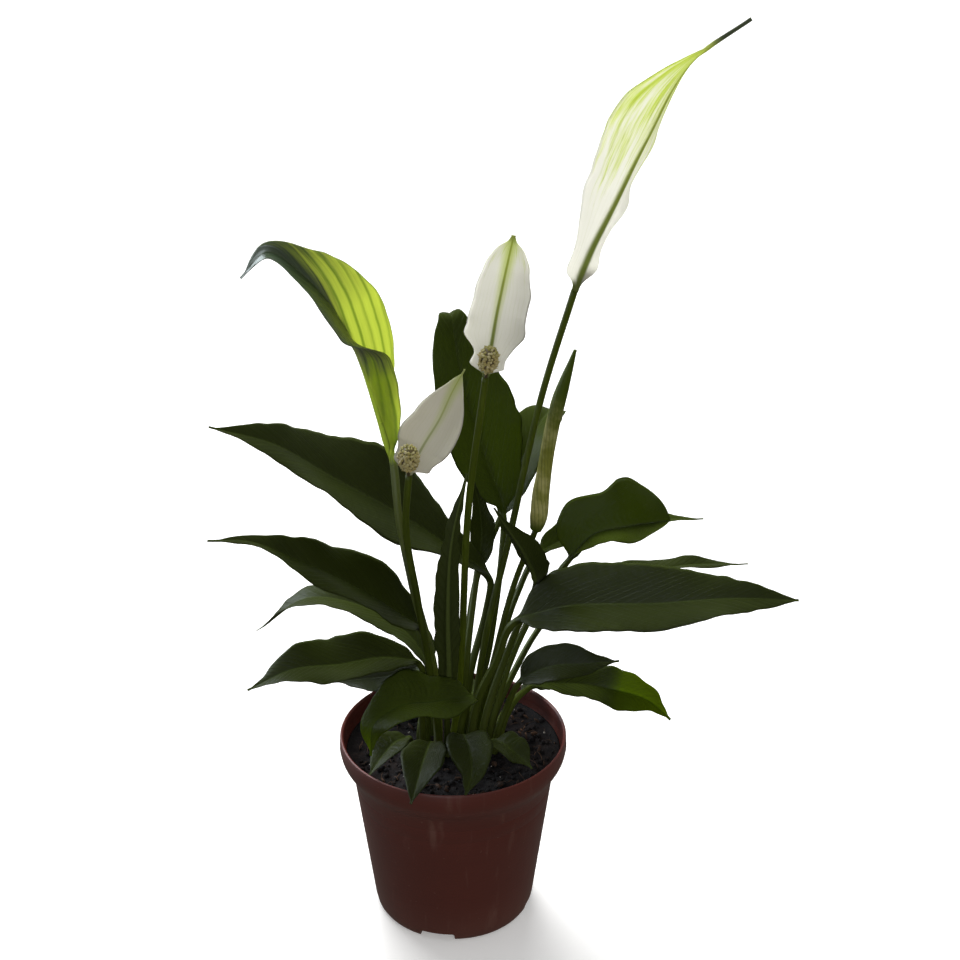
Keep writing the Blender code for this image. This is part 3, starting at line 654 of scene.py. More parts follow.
def randomAxes(rng, size):  # three axes of that size
    axes, _ = np.linalg.qr(rng.normal(size=(3, 3)))
    return axes * (np.sign(np.linalg.det(axes)) * size)


# places on the soil that keep clear of the stems
def freeSpots(rng, stems, count, reach, clear):
    found = []
    while len(found) < count:
        radius = reach * math.sqrt(rng.random())
        angle = rng.random() * 2 * math.pi
        x, y = radius * math.cos(angle), radius * math.sin(angle)
        if all(math.hypot(x - a, y - b) > soil["stemRoom"] + clear for a, b in stems):
            found.append((x, y))
    return found


def scatterOnSoil():
    rng = np.random.default_rng(11)
    stems = [spec["root"] for spec in [*leaves.values(), *blooms.values(), bud]]
    for name, lump in soil["lumps"].items():
        seed = lumpSeed(lump["form"], lump["seed"])
        places = []
        shades = []
        for x, y in freeSpots(rng, stems, lump["count"], soil["reach"], lump["clear"]):
            size = between(lump["sizes"], rng.random() ** 2.2)  # most of them are small
            places.append(((x, y, soilHeight(x, y) + size * lump["lift"]), randomAxes(rng, size)))
            shades.append(rng.random())
        hand(copies(name, seed, places, {"shade": shades}), soilSurface(name), "soil")
    layFibres(rng, stems)


def layFibres(rng, stems):
    fibres = soil["fibres"]
    steps = np.linspace(-0.5, 0.5, fibres["places"])
    strands = []
    for x, y in freeSpots(rng, stems, fibres["count"], fibres["reach"], fibres["clear"]):
        length = rng.uniform(*fibres["length"])
        thick = rng.uniform(*fibres["thick"])
        turn = rng.uniform(0, fullTurn) + rng.uniform(-fibres["bend"], fibres["bend"]) * steps
        xs = x + np.cumsum(np.cos(turn)) * length / fibres["places"]
        ys = y + np.cumsum(np.sin(turn)) * length / fibres["places"]
        keep = np.hypot(xs, ys) < fibres["edge"]
        apart = all(np.hypot(xs - a, ys - b).min() > fibres["stemRoom"] for a, b in stems)
        if keep.sum() < 4 or not apart:
            continue
        xs, ys = xs[keep], ys[keep]
        arch = rng.uniform(0, fibres["arch"]) * hump(0, 0.35, np.linspace(-0.5, 0.5, len(xs)))
        strands.append((np.stack([xs, ys, soilHeight(xs, ys) + fibres["lift"] + arch], 1), thick))
    hand(strandPiece("soilFibres", strands, fibres["sides"]), soilSurface("soilFibres"), "soil")


def strandPiece(name, strands, sides):  # closed strands along rows of points
    points = []
    faces = []
    first = 0
    angles = np.arange(sides) * 2 * math.pi / sides
    for middle, thick in strands:
        ways = np.gradient(middle, axis=0)
        ways /= np.linalg.norm(ways, axis=1)[:, None]
        side, up = framesAlong(ways, math.atan2(ways[0, 1], ways[0, 0]))
        taper = thick * (1 - 0.7 * np.linspace(-1, 1, len(middle)) ** 4)
        points.append(ringsAlong(middle, side, up, angles, taper[:, None]).reshape(-1, 3))
        last = first + (len(middle) - 1) * sides
        for low in range(first, last, sides):
            for a in range(sides):
                b = (a + 1) % sides
                faces.append([low + a, low + sides + a, low + sides + b, low + b])
        faces.append([first + a for a in range(sides)])
        faces.append([last + a for a in range(sides)][::-1])
        first = last + sides
    piece = pieceFrom(name, points, faces)
    bpy.ops.object.mode_set(mode="EDIT")
    faceOutwards()
    return piece


def soilSurface(piece):
    name, dark, pale, paleFrom, spread, depth = soil["finishes"][piece]
    surface, tree, shader = newSurface(name)
    place = objectPlace(tree)
    fine = grain(tree, place, 900.0, 5.0, 0.7)
    cloud = grain(tree, place, 120.0, 4.0, 0.6)
    share = step(tree, paleFrom, paleFrom + spread, scaled(tree, fine, 0.6, times(tree, cloud, 0.4)))
    finishWith(tree, shader, blend(tree, share, dark, pale), 0.88, 0.25)
    relief(tree, shader, fine, depth)
    return surface


# where stems stand: sunk this deep in the soil, upright to this height over it, parts this far apart
planting = {"rootDepth": 12.0, "outletHeight": 2.0, "fit": 0.3}


def stemCurve(root, points):
    foot = np.array([*root, soil["top"] - planting["rootDepth"]], float)
    outlet = [*root, soil["top"] + planting["outletHeight"]]
    return foot, curveThrough([outlet, *points], (0, 0, 1))


# places, ways and shares from the foot in the soil, and then along the curve up to its point last
def fromFoot(foot, dense, last, shares):
    places, ways, _ = walk(dense, 0, last, shares)
    places = np.concatenate([foot[None], places])
    return places, np.concatenate([[[0, 0, 1.0]], ways]), np.concatenate([[0.0], shares])


# leaves: each stands on its own stalk, which leaves the soil upright at root, and blade starts at its base
leafUsual = {
    "radius": 2.1,
    "heading": None,
    "belly": 0.4,
    "shoulder": 0.8,
    "taper": 1.25,
    "fold": (24.0, 12.0),
    "leftFold": None,
    "curl": (0.0, 0.0, 1.0),
    "roll": (0.0, 0.0),
    "wave": (0.8, 2.0, 0.0),
    "leastWidth": 0.75,
    # bulges of the margin: share of the length, 1 left or -1 right, millimetres, spread
    "lobes": [],
    # how unevenly the margin runs, over that many millimetres
    "ragged": 1.2,
    "raggedSize": 6.5,
    # how far the margin lifts and sinks, over that many millimetres
    "ripple": 0.9,
    "rippleSize": 13.0,
    "thickness": 0.55,
    # gap between side veins: the length over veins, within the limits, when None
    "veinGap": None,
    "veins": 22,
    "veinGapLimits": (3.0, 7.0),
    "veinLean": 1.5,
    # how deep the veins lie between the swellings of the blade
    "quilt": 0.11,
    "finish": "deep",
    # share of the length, how much light comes through there on the left half and on the right,
    # and how far the dark strip beside the rib reaches on the right half
    "glow": [(0.0, 1.0, 1.0, 0.0), (1.0, 1.0, 1.0, 0.0)],
    # 0 darkest to 1 lightest, or a different one for each leaf when None
    "tone": None,
    # spans of the mesh across half a blade and along it, and length of one on the stalk
    "across": 30,
    "along": 150,
    "stalkSpan": 3.0,
}
leafSmall = {"radius": 1.4, "veinLean": 2.4, "quilt": 0.22, "across": 18, "along": 48}
leaves = {
    "leaf_arched_left": dict(
        root=(-8, 1), stalk=[(-9, -3, 139), (-20, -13, 203), (-26, -15, 243)],
        blade=[
            (-28, -12, 268), (-35, -12, 299), (-46, -13, 332),
            (-67, -14, 364), (-84, -18, 377), (-96, -20, 365),
        ],
        halfWidth=22, radius=2.5, belly=0.52, shoulder=1.5, taper=1.35, fold=(40, 40), leftFold=(60, 0),
        curl=(55, 0.36, 0.52), roll=(-30, -30), wave=(2.5, 1.5, 0.1),
        finish="bright", ragged=0.6, veinGap=24.0, veinLean=4.6,
        glow=[
            (0.0, 1.0, 1.0, -0.2), (0.31, 1.0, 1.0, -0.2), (0.42, 0.22, 1.0, -0.1), (0.55, 0.18, 1.0, 0.0),
            (0.70, 0.12, 0.75, 0.2), (0.82, 0.04, 0.32, 0.4), (0.92, 0.0, 0.05, 0.6), (1.0, 0.0, 0.0, 1.0),
        ],
    ),
    "leaf_long_left": dict(
        root=(6, 13), stalk=[(9, 20, 128), (18, 28, 165)],
        blade=[(20, 29, 179), (0, 23, 203), (-30, 15, 229), (-58, 6, 251), (-88, -4, 275), (-117, -12, 287)],
        halfWidth=30, radius=2.5, belly=0.45, shoulder=1.5, roll=(-32, -25), wave=(2.2, 2.5, 0.7),
        tone=0.75, veinLean=2.2, lobes=[(0.22, -1, -4.5, 0.10), (0.5, 1, 1.5, 0.12)],
    ),
    "leaf_curled_left": dict(
        root=(-14, 3), stalk=[(-13, 0, 137)],
        blade=[(-16, -3, 169), (-30, -9, 185), (-76, -31, 225), (-98, -37, 238), (-117, -39, 239)],
        halfWidth=20, belly=0.34, shoulder=0.6, taper=1.5, roll=(-28, -25), wave=(1.6, 2.5, 0.3),
    ),
    "leaf_far_left": dict(
        root=(-11, 13), stalk=[(-11, 24, 112)],
        blade=[(-13, 35, 121), (-23, 49, 134), (-47, 62, 145), (-81, 72, 147), (-113, 80, 121)],
        halfWidth=15, shoulder=0.6, roll=(-10, -10), wave=(1.2, 2.5, 0.0),
    ),
    "leaf_tall_centre": dict(
        root=(11, 19), stalk=[(20, 28, 146), (26, 45, 190)],
        blade=[(27, 53, 208), (17, 60, 239), (2, 74, 291), (-1, 86, 309), (-3, 104, 303)],
        halfWidth=25, belly=0.42, shoulder=0.7, taper=1.3, wave=(1.5, 2.0, 0.2),
        finish="mid", tone=0.5,
    ),
    "leaf_tall_right": dict(
        root=(1, 19), stalk=[(7, 38, 138), (13, 54, 171)],
        blade=[(25, 64, 200), (44, 84, 243), (52, 100, 248), (60, 120, 236)],
        halfWidth=16, belly=0.5,
        finish="mid", tone=0.7,
    ),
    "leaf_inner_front": dict(
        root=(15, -3), stalk=[(31, 4, 159)],
        blade=[(43, 0, 195), (38, -14, 218), (29, -28, 239), (21, -38, 256)],
        halfWidth=11,
    ),
    "leaf_wavy_right": dict(
        root=(19, 3), stalk=[(25, 8, 126), (43, 20, 168)],
        blade=[(61, 24, 196), (73, 27, 209), (91, 25, 215), (112, 16, 223)],
        halfWidth=26, belly=0.6, shoulder=0.6, taper=0.45, fold=(45, 40), roll=(35, 35), wave=(3.0, 1.6, 0.1),
        finish="mid", tone=0.9, lobes=[(0.28, 1, 2.5, 0.07), (0.45, 1, -2.0, 0.07), (0.68, 1, 1.5, 0.08)],
    ),
    "leaf_narrow_right": dict(
        root=(17, 17), stalk=[(24, 28, 136), (34, 40, 166)],
        blade=[(45, 46, 187), (63, 56, 194), (96, 64, 199), (136, 66, 199)],
        halfWidth=13, roll=(20, 0),
        finish="mid",
    ),
    "leaf_long_right": dict(
        root=(9, -5), stalk=[(14, -5, 131), (23, -8, 154)],
        blade=[(32, -12, 179), (48, -16, 188), (105, -32, 201), (139, -38, 207), (170, -40, 207)],
        halfWidth=23, radius=2.5, belly=0.34, taper=0.95, roll=(30, 30), wave=(1.2, 2.5, 0.0),
        tone=0.6, veinLean=2.2, lobes=[(0.85, -1, 1.2, 0.08), (0.2, 1, 1.5, 0.1)],
    ),
    "leaf_far_right": dict(
        root=(20, 10), stalk=[(33, 28, 126)],
        blade=[(56, 48, 153), (92, 64, 162), (126, 74, 166), (164, 78, 165)],
        halfWidth=12, wave=(1.5, 3.0, 0.0),
    ),
    "leaf_lower_right": dict(
        root=(22, -4), stalk=[(29, 0, 122)],
        blade=[(35, -2, 137), (51, -6, 149), (70, -10, 153), (86, -12, 156)],
        halfWidth=13, roll=(30, 30),
    ),
    "leaf_lowest_right": dict(
        root=(25, 5), stalk=[(32, 14, 114)],
        blade=[(41, 22, 119), (64, 30, 117), (87, 28, 114), (107, 20, 111), (117, 12, 105)],
        halfWidth=13, belly=0.6, shoulder=0.5, roll=(10, 60), wave=(1.5, 2.0, 0.0),
        finish="mid", tone=0.5,
        glow=[(0.0, 0.2, 0.2, -0.2), (0.5, 0.4, 0.4, -0.2), (0.62, 2.8, 2.8, -0.2), (1.0, 3.6, 3.6, -0.2)],
    ),
    "leaf_small_back": dict(
        leafSmall, root=(24, 17), stalk=[(32, 33, 104)],
        blade=[(37, 37, 107), (45, 38, 110), (53, 36, 109)],
        halfWidth=6,
    ),
    "leaf_lower_left": dict(
        root=(-16, -7), stalk=[(-16, -11, 132)],
        blade=[(-17, -13, 155), (-32, -20, 163), (-56, -32, 166), (-80, -41, 168), (-101, -47, 160)],
        halfWidth=17, belly=0.5, roll=(-20, -20), wave=(1.5, 2.5, 0.2),
    ),
    "leaf_under_left": dict(
        root=(-18, 10), stalk=[(-16, 20, 113)],
        blade=[(-18, 30, 124), (-38, 38, 116), (-66, 46, 108)],
        halfWidth=12, roll=(-40, -30),
    ),
    "leaf_bright_front": dict(
        root=(3, -11), stalk=[(6, -10, 124)],
        blade=[(10, -17, 137), (-10, -34, 145), (-27, -47, 150), (-38, -55, 145), (-40, -58, 129)],
        halfWidth=20, roll=(-15, -15), wave=(2.0, 2.0, 0.0),
        finish="mid", tone=1.2, veinLean=2.2, quilt=0.2,
        glow=[(0.0, 1.0, 1.0, -0.2), (0.5, 1.0, 1.0, -0.2), (1.0, 2.4, 2.4, -0.2)],
    ),
    "leaf_small_left": dict(
        leafSmall, root=(-22, -11), stalk=[(-22, -17, 112)],
        blade=[(-23, -22, 116), (-29, -29, 118), (-36, -37, 114), (-42, -46, 109)],
        halfWidth=10,
    ),
    "leaf_small_front_left": dict(
        leafSmall, root=(-9, -17), stalk=[(-10, -22, 112)],
        blade=[(-11, -27, 116), (-14, -44, 118), (-17, -60, 115), (-20, -71, 109)],
        halfWidth=13,
    ),
    "leaf_small_front": dict(
        leafSmall, root=(10, -14), stalk=[(7, -18, 112)],
        blade=[(6, -22, 117), (9, -40, 120), (10, -53, 114), (7, -62, 108)],
        halfWidth=13,
    ),
    "leaf_small_front_right": dict(
        leafSmall, root=(16, -12), stalk=[(19, -16, 109)],
        blade=[(22, -20, 113), (29, -30, 115), (36, -34, 111), (41, -39, 108)],
        halfWidth=11,
    ),
    "leaf_small_back_left": dict(
        leafSmall, root=(-8, 21), stalk=[(-12, 28, 103)],
        blade=[(-15, 32, 106), (-23, 40, 107), (-30, 47, 103)],
        halfWidth=9,
    ),
    "leaf_small_back_middle": dict(
        leafSmall, root=(9, 26), stalk=[(10, 32, 103)],
        blade=[(10, 36, 106), (12, 46, 107), (15, 54, 103)],
        halfWidth=9,
    ),
    "leaf_upright_front": dict(
        root=(-3, -5), stalk=[(-3, -6, 109)],
        blade=[(-3, -8, 119), (-2, -13, 150), (-2, -18, 190), (0, -20, 228), (8, -18, 265)],
        halfWidth=8, heading=-80, belly=0.5,
    ),
    "leaf_inner_back": dict(
        root=(5, 7), stalk=[(8, 14, 150)],
        blade=[(13, 33, 186), (15, 38, 203), (14, 40, 218), (11, 41, 233)],
        halfWidth=8,
    ),
}

# shares of the half width, from 1 at the left margin over 0 at the rib to -1 at the right one
def sharesAcross(half, crowding):
    c = np.linspace(1, -1, half + 1)
    return np.sign(c) * np.abs(c) ** crowding


def sharesAlong(count):  # closer together toward the tip
    steps = np.linspace(0, 1, count + 1)
    return steps + 0.8 * steps**6 * (1 - steps)


def outline(spec, along):  # width along a blade as a share of its widest
    belly = spec["belly"]
    swell = np.sin(math.pi / 2 * np.clip(along / belly, 0, 1)) ** spec["shoulder"]
    fade = np.cos(math.pi / 2 * np.clip((along - belly) / (1 - belly), 0, 1)) ** spec["taper"]
    return np.where(along < belly, swell, fade)


def lobed(wide, lobes, x, s, inner):
    for at, side, size, spread in lobes:
        wide = wide + size * hump(at, spread, x)[:, None] * (np.sign(s) == side) * ease(0.0, inner, np.abs(s))
    return wide


def ripples(gone, s, lane, seed):  # places for noise that differs between the two halves
    flat = np.zeros((len(gone), len(s)))
    return np.stack([gone[:, None] + flat, np.sign(s) * lane + flat, flat + seed], 2)


# the middle of a thin sheet, and the way that each of its points faces
def sheet(places, side, up, across, height):
    middle = places[:, None] + side[:, None] * across[..., None] + up[:, None] * height[..., None]
    outward = np.cross(np.gradient(middle, axis=0), -np.gradient(middle, axis=1)) + 1e-9 * up[:, None]
    return middle, outward / np.linalg.norm(outward, axis=2)[..., None]


# rings that run over the upper face from left to right and back under the lower one
def bothFaces(upper, lower=None):
    lower = upper if lower is None else lower
    return np.concatenate([upper, lower[:, ::-1][:, 1:]], axis=1)


def underTrait(half):
    return np.concatenate([[0.5], np.zeros(half - 1), [0.5], np.ones(half - 1), [0.5]])


def leafStalk(leaf, foot, dense, base, heading, turns):
    # grooved above, broad at its foot and a little thicker under the blade
    count = max(int(lengthOf(dense[: base + 1]) / leaf["stalkSpan"]), 8)
    places, ways, t = fromFoot(foot, dense, base, np.linspace(0, 1, count)[:-1])
    side, up = framesAlong(ways, heading, leaf["roll"][0])
    girth = leaf["radius"] * (1 - 0.25 * t) * (1 + 0.10 * hump(0.95, 0.05, t))
    groove = 1 - (0.26 - 0.12 * t[:, None]) * hump(math.pi / 2, 0.42, turns)
    return ringsAlong(places, side, up, turns, girth[:, None] * groove), t


def leafGlow(leaf, x, s):
    at, left, right, strip = np.array(leaf["glow"], float).T
    glow = np.where(s > 0, np.interp(x, at, left)[:, None], np.interp(x, at, right)[:, None])
    beside = np.abs(s) - np.interp(x, at, strip)[:, None]
    return glow * np.where(s > 0, 1.0, ease(-0.2, 0.2, beside))


def growLeaf(node, leaf, tone):
    leaf = {**leafUsual, **leaf}
    radius = leaf["radius"]
    foot, dense = stemCurve(leaf["root"], leaf["stalk"] + leaf["blade"])
    base = (len(leaf["stalk"]) + 1) * stepsPerSpan
    run = dense[-1] - dense[base]
    heading = math.atan2(run[1], run[0]) if leaf["heading"] is None else math.radians(leaf["heading"])
    half = leaf["across"]
    turns = np.linspace(0, fullTurn, 2 * half + 1)
    stem, t = leafStalk(leaf, foot, dense, base, heading, turns)

    # blade: folded along its rib, waved at its margins and quilted between its veins
    s = sharesAcross(half, 1.3)
    x = sharesAlong(leaf["along"])
    left = (1 - x)[:, None]
    places, ways, gone = walk(dense, base, len(dense) - 1, x)
    side, up = framesAlong(ways, heading, between(leaf["roll"], x))
    more, opens, opened = leaf["curl"]
    leftFold = between(leaf["leftFold"] or leaf["fold"], x) + more * (1 - ease(opens, opened, x))
    rightFold = between(leaf["fold"], x)
    fold = np.radians(np.where(s > 0, leftFold[:, None], rightFold[:, None]))
    size, beats, phase = leaf["wave"]
    swing = (size * ease(0.0, 0.25, x) * ease(1.0, 0.75, x))[:, None]
    beat = np.sin(fullTurn * (beats * x[:, None] + phase + np.where(s < 0, 0.3, 0.0)))
    seed = sum(map(ord, node)) * 0.37
    ripplePlaces = ripples(gone, s, 40, seed)
    ragged = roughness3(ripplePlaces, leaf["raggedSize"], seed)
    ragged = leaf["ragged"] * (ragged * ease(0.06, 0.2, x)[:, None] * ease(1.0, 0.85, x)[:, None])
    width = radius * (1 - x) + (leaf["halfWidth"] - radius) * outline(leaf, x)
    wide = np.maximum(width, leaf["leastWidth"])[:, None] + 0 * s
    wide = lobed(wide + ragged * ease(0.2, 0.8, np.abs(s)), leaf["lobes"], x, s, 0.3)
    out = np.abs(s) * wide
    gap = leaf["veinGap"] or np.clip(gone[-1] / leaf["veins"], *leaf["veinGapLimits"])
    veins = (gone[:, None] - leaf["veinLean"] * out - 0.03 * out**2) / gap
    height = wide * (np.sqrt(s**2 + 0.0036) - 0.06) * np.sin(fold) + swing * np.abs(s) ** 1.5 * beat
    height += wide * 0.10 * np.abs(s) * (1 - np.abs(s)) * ease(0.05, 0.3, x)[:, None]
    ripple = leaf["ripple"] * roughness3(ripplePlaces, leaf["rippleSize"], seed) * np.abs(s) ** 2.5
    height += ripple * ease(0.08, 0.3, x)[:, None] * ease(1.0, 0.85, x)[:, None]
    quilt = leaf["quilt"] * np.cos(fullTurn * veins) * ease(0.6, 3.0, out) * ease(1.0, 0.8, np.abs(s))
    height -= quilt * ease(0.04, 0.15, x)[:, None]
    middle, outward = sheet(places, side, up, s * wide * np.cos(fold), height)

    # thin at the margins, with a rib below and a dip along it above
    thin = np.sqrt(np.clip(1 - s**6, 0, 1)) * leaf["thickness"] / 2
    ribDepth = radius * (1.15 * left**1.4 + 0.14)
    ribWidth = radius * (0.8 * left + 0.22)
    ridge = ribDepth * hump(0, 1, out / ribWidth) * ease(1.0, 0.93, x)[:, None]
    dip = 0.28 * hump(0, 1, out / 0.9) * (0.3 + 0.7 * left)
    fade = ease(1.0, 0.96, x)[:, None]
    upper = middle + outward * (thin - dip * fade)[..., None]
    lower = middle - outward * (thin * (0.25 + 0.75 * fade) + ridge)[..., None]
    neck = radius * 0.75 * (1 - 0.14 * hump(math.pi / 2, 0.42, turns))
    share = ease(0.0, 0.09, x)[:, None, None]
    blade = ringsAlong(places, side, up, turns, neck) * (1 - share) + bothFaces(upper, lower) * share

    def whole(values, onStalk):
        return np.concatenate([np.full((len(stem), 2 * half + 1), 1.0) * onStalk, bothFaces(values)])

    glow = leafGlow(leaf, x, s)
    traits = {
        "vein": whole(veins, 0.5),
        "rib": whole(out / (0.35 + 0.65 * left), 9.0),
        "edge": whole(np.abs(s) + 0 * wide, 0.0),
        "along": whole(x[:, None] + 0 * s, (t - 1.0)[:, None] - 1e-3),
        "under": underTrait(half),
        "glow": whole(glow, glow[0, 0]),
        "tone": tone if leaf["tone"] is None else leaf["tone"],
    }
    piece = loft(nameOf(node), np.concatenate([stem, blade]), traits)
    hand(piece, leafSurfaces[leaf["finish"]], "leaf", node)
    return len(piece.data.polygons)


def nameOf(node):
    first, *rest = node.split("_")
    return first + "".join(word.capitalize() for word in rest)


leafSurfaces = {}
leafFinishes = {
    "deep": {
        "dark": (0.0130, 0.0180, 0.0026),
        "light": (0.027, 0.038, 0.0048),
        "underFace": (0.034, 0.046, 0.011),
        "vein": (0.034, 0.048, 0.010),
        "share": 0.13,
        "through": (0.34, 0.42, 0.04),
        "veinShade": 0.35,
        "veinSoft": 0.40,
        "specular": 0.11,
    },
    "mid": {
        "dark": (0.020, 0.030, 0.0032),
        "light": (0.042, 0.060, 0.0065),
        "underFace": (0.044, 0.066, 0.012),
        "vein": (0.052, 0.076, 0.013),
        "share": 0.26,
        "through": (0.42, 0.54, 0.04),
        "veinShade": 0.35,
        "veinSoft": 0.38,
        "specular": 0.08,
    },
    "bright": {
        "dark": (0.015, 0.036, 0.008),
        "light": (0.030, 0.060, 0.013),
        "underFace": (0.150, 0.175, 0.075),
        "vein": (0.018, 0.036, 0.010),
        "share": 0.80,
        "through": (0.86, 0.95, 0.29),
        "veinShade": 1.0,
        "veinSoft": 0.28,
        "specular": 0.9,
    },
}
leafTrim = {
    "stalk": (0.060, 0.084, 0.010),
    "stalkFoot": (0.090, 0.118, 0.022),
    "rib": (0.050, 0.072, 0.013),
    "ribUnder": (0.080, 0.110, 0.026),
    "roughness": 0.40,
    "relief": 0.17,
    # of the light that comes through, by red, green and blue: at the veins, and in the dim streaks
    "veinThrough": (0.30, 0.42, 0.22),
    "streakThrough": (0.6, 0.6, 0.6),
}


def leafSurface(name, finish):
    surface, tree, shader = newSurface(name)
    place = objectPlace(tree)
    names = ("along", "under", "edge", "vein", "rib", "tone", "glow")
    along, under, edge, vein, rib, tone, glow = [trait(tree, each) for each in names]
    cloud = grain(tree, place, 28.0, 4.0, 0.6)
    fine = grain(tree, place, 700.0, 3.0, 0.6)
    # streaks that run with the veins
    flow = addNode(tree, "ShaderNodeCombineXYZ", {0: times(tree, vein, 2.2), 1: along, 2: tone}).outputs[0]
    streak = grain(tree, flow, 1.6, 4.0, 0.65)

    def veinLine(count, sharpness):  # some veins are stronger than others
        swung = scaled(tree, cloud, 0.45, times(tree, vein, count))
        inputs = {"W": sums(tree, "FLOOR", sums(tree, "ADD", swung, 0.5))}
        strength = addNode(tree, "ShaderNodeTexWhiteNoise", inputs, noise_dimensions="1D").outputs["Value"]
        line = step(tree, sharpness, 0.5, fromLine(tree, swung))
        return times(tree, line, scaled(tree, strength, 0.6, 0.4))

    mainVein = veinLine(1.0, finish["veinSoft"])
    fineVein = veinLine(4.0, 0.25)
    onBlade = step(tree, -0.01, 0.03, along)
    veinMask = times(tree, mainVein, step(tree, 0.2, 2.2, rib))
    ribMask = times(tree, sums(tree, "SUBTRACT", 1.0, step(tree, 0.35, 1.25, rib)), onBlade)
    margin = step(tree, 0.965, 1.0, edge)
    shade = scaled(tree, streak, 1.7, scaled(tree, cloud, 0.6, -0.85))
    shade = scaled(tree, tone, 0.7, sums(tree, "ADD", shade, -0.15), clamp=True)
    top = blend(tree, shade, finish["dark"], finish["light"])
    top = blend(tree, times(tree, veinMask, 0.6), top, finish["vein"])
    top = blend(tree, times(tree, fineVein, 0.12), top, finish["vein"])
    top = blend(tree, times(tree, ribMask, 0.5), top, leafTrim["rib"])
    low = blend(tree, times(tree, veinMask, 0.7), finish["underFace"], finish["light"])
    low = blend(tree, times(tree, ribMask, 0.9), low, leafTrim["ribUnder"])
    colour = blend(tree, under, top, low)
    colour = blend(tree, times(tree, margin, 0.4), colour, leafTrim["rib"])
    stalk = blend(tree, step(tree, -0.55, -1.0, along), leafTrim["stalk"], leafTrim["stalkFoot"])
    fibre = grain(tree, place, 500.0, 3.0, 0.6, (1.0, 1.0, 0.06))
    stalk = blend(tree, times(tree, fibre, 0.5), stalk, finish["light"])
    rough = scaled(tree, streak, 0.4, leafTrim["roughness"] - 0.2)
    rough = scaled(tree, under, 0.15, rough)
    finishWith(tree, shader, blend(tree, onBlade, stalk, colour), rough, finish["specular"])
    grooves = scaled(tree, mainVein, -0.7, times(tree, fineVein, -0.25))
    bumps = scaled(tree, fine, 0.22, times(tree, grooves, onBlade))
    normal = relief(tree, shader, bumps, leafTrim["relief"])
    # light through the blade: less at the veins and the margin, and in streaks where it fades out
    dim = times(tree, sums(tree, "MAXIMUM", veinMask, times(tree, margin, 0.7)), finish["veinShade"])
    dim = sums(tree, "MAXIMUM", dim, times(tree, ribMask, 0.6))
    through = finish["through"]
    passed = blend(tree, dim, through, shaded(through, leafTrim["veinThrough"]))
    passed = blend(tree, times(tree, streak, 0.75), passed, shaded(through, leafTrim["streakThrough"]))
    fading = times(tree, sums(tree, "SUBTRACT", streak, 0.5), times(tree, glow, 9.0))
    fading = times(tree, fading, sums(tree, "SUBTRACT", 1.0, glow, clamp=True))
    passShare = times(tree, scaled(tree, onBlade, 0.75, 0.25), finish["share"])
    held = sums(tree, "MAXIMUM", sums(tree, "ADD", glow, fading), 0.0)
    letThrough(tree, shader, times(tree, passShare, held), passed, normal)
    return surface


def makeLeaves():
    for name, finish in leafFinishes.items():
        leafSurfaces[name] = leafSurface(name + "Leaf", finish)
    rng = random.Random(5)
    faces = sum(growLeaf(node, leaf, rng.random()) for node, leaf in leaves.items())
    print(len(leaves), "leaves made,", faces, "faces")


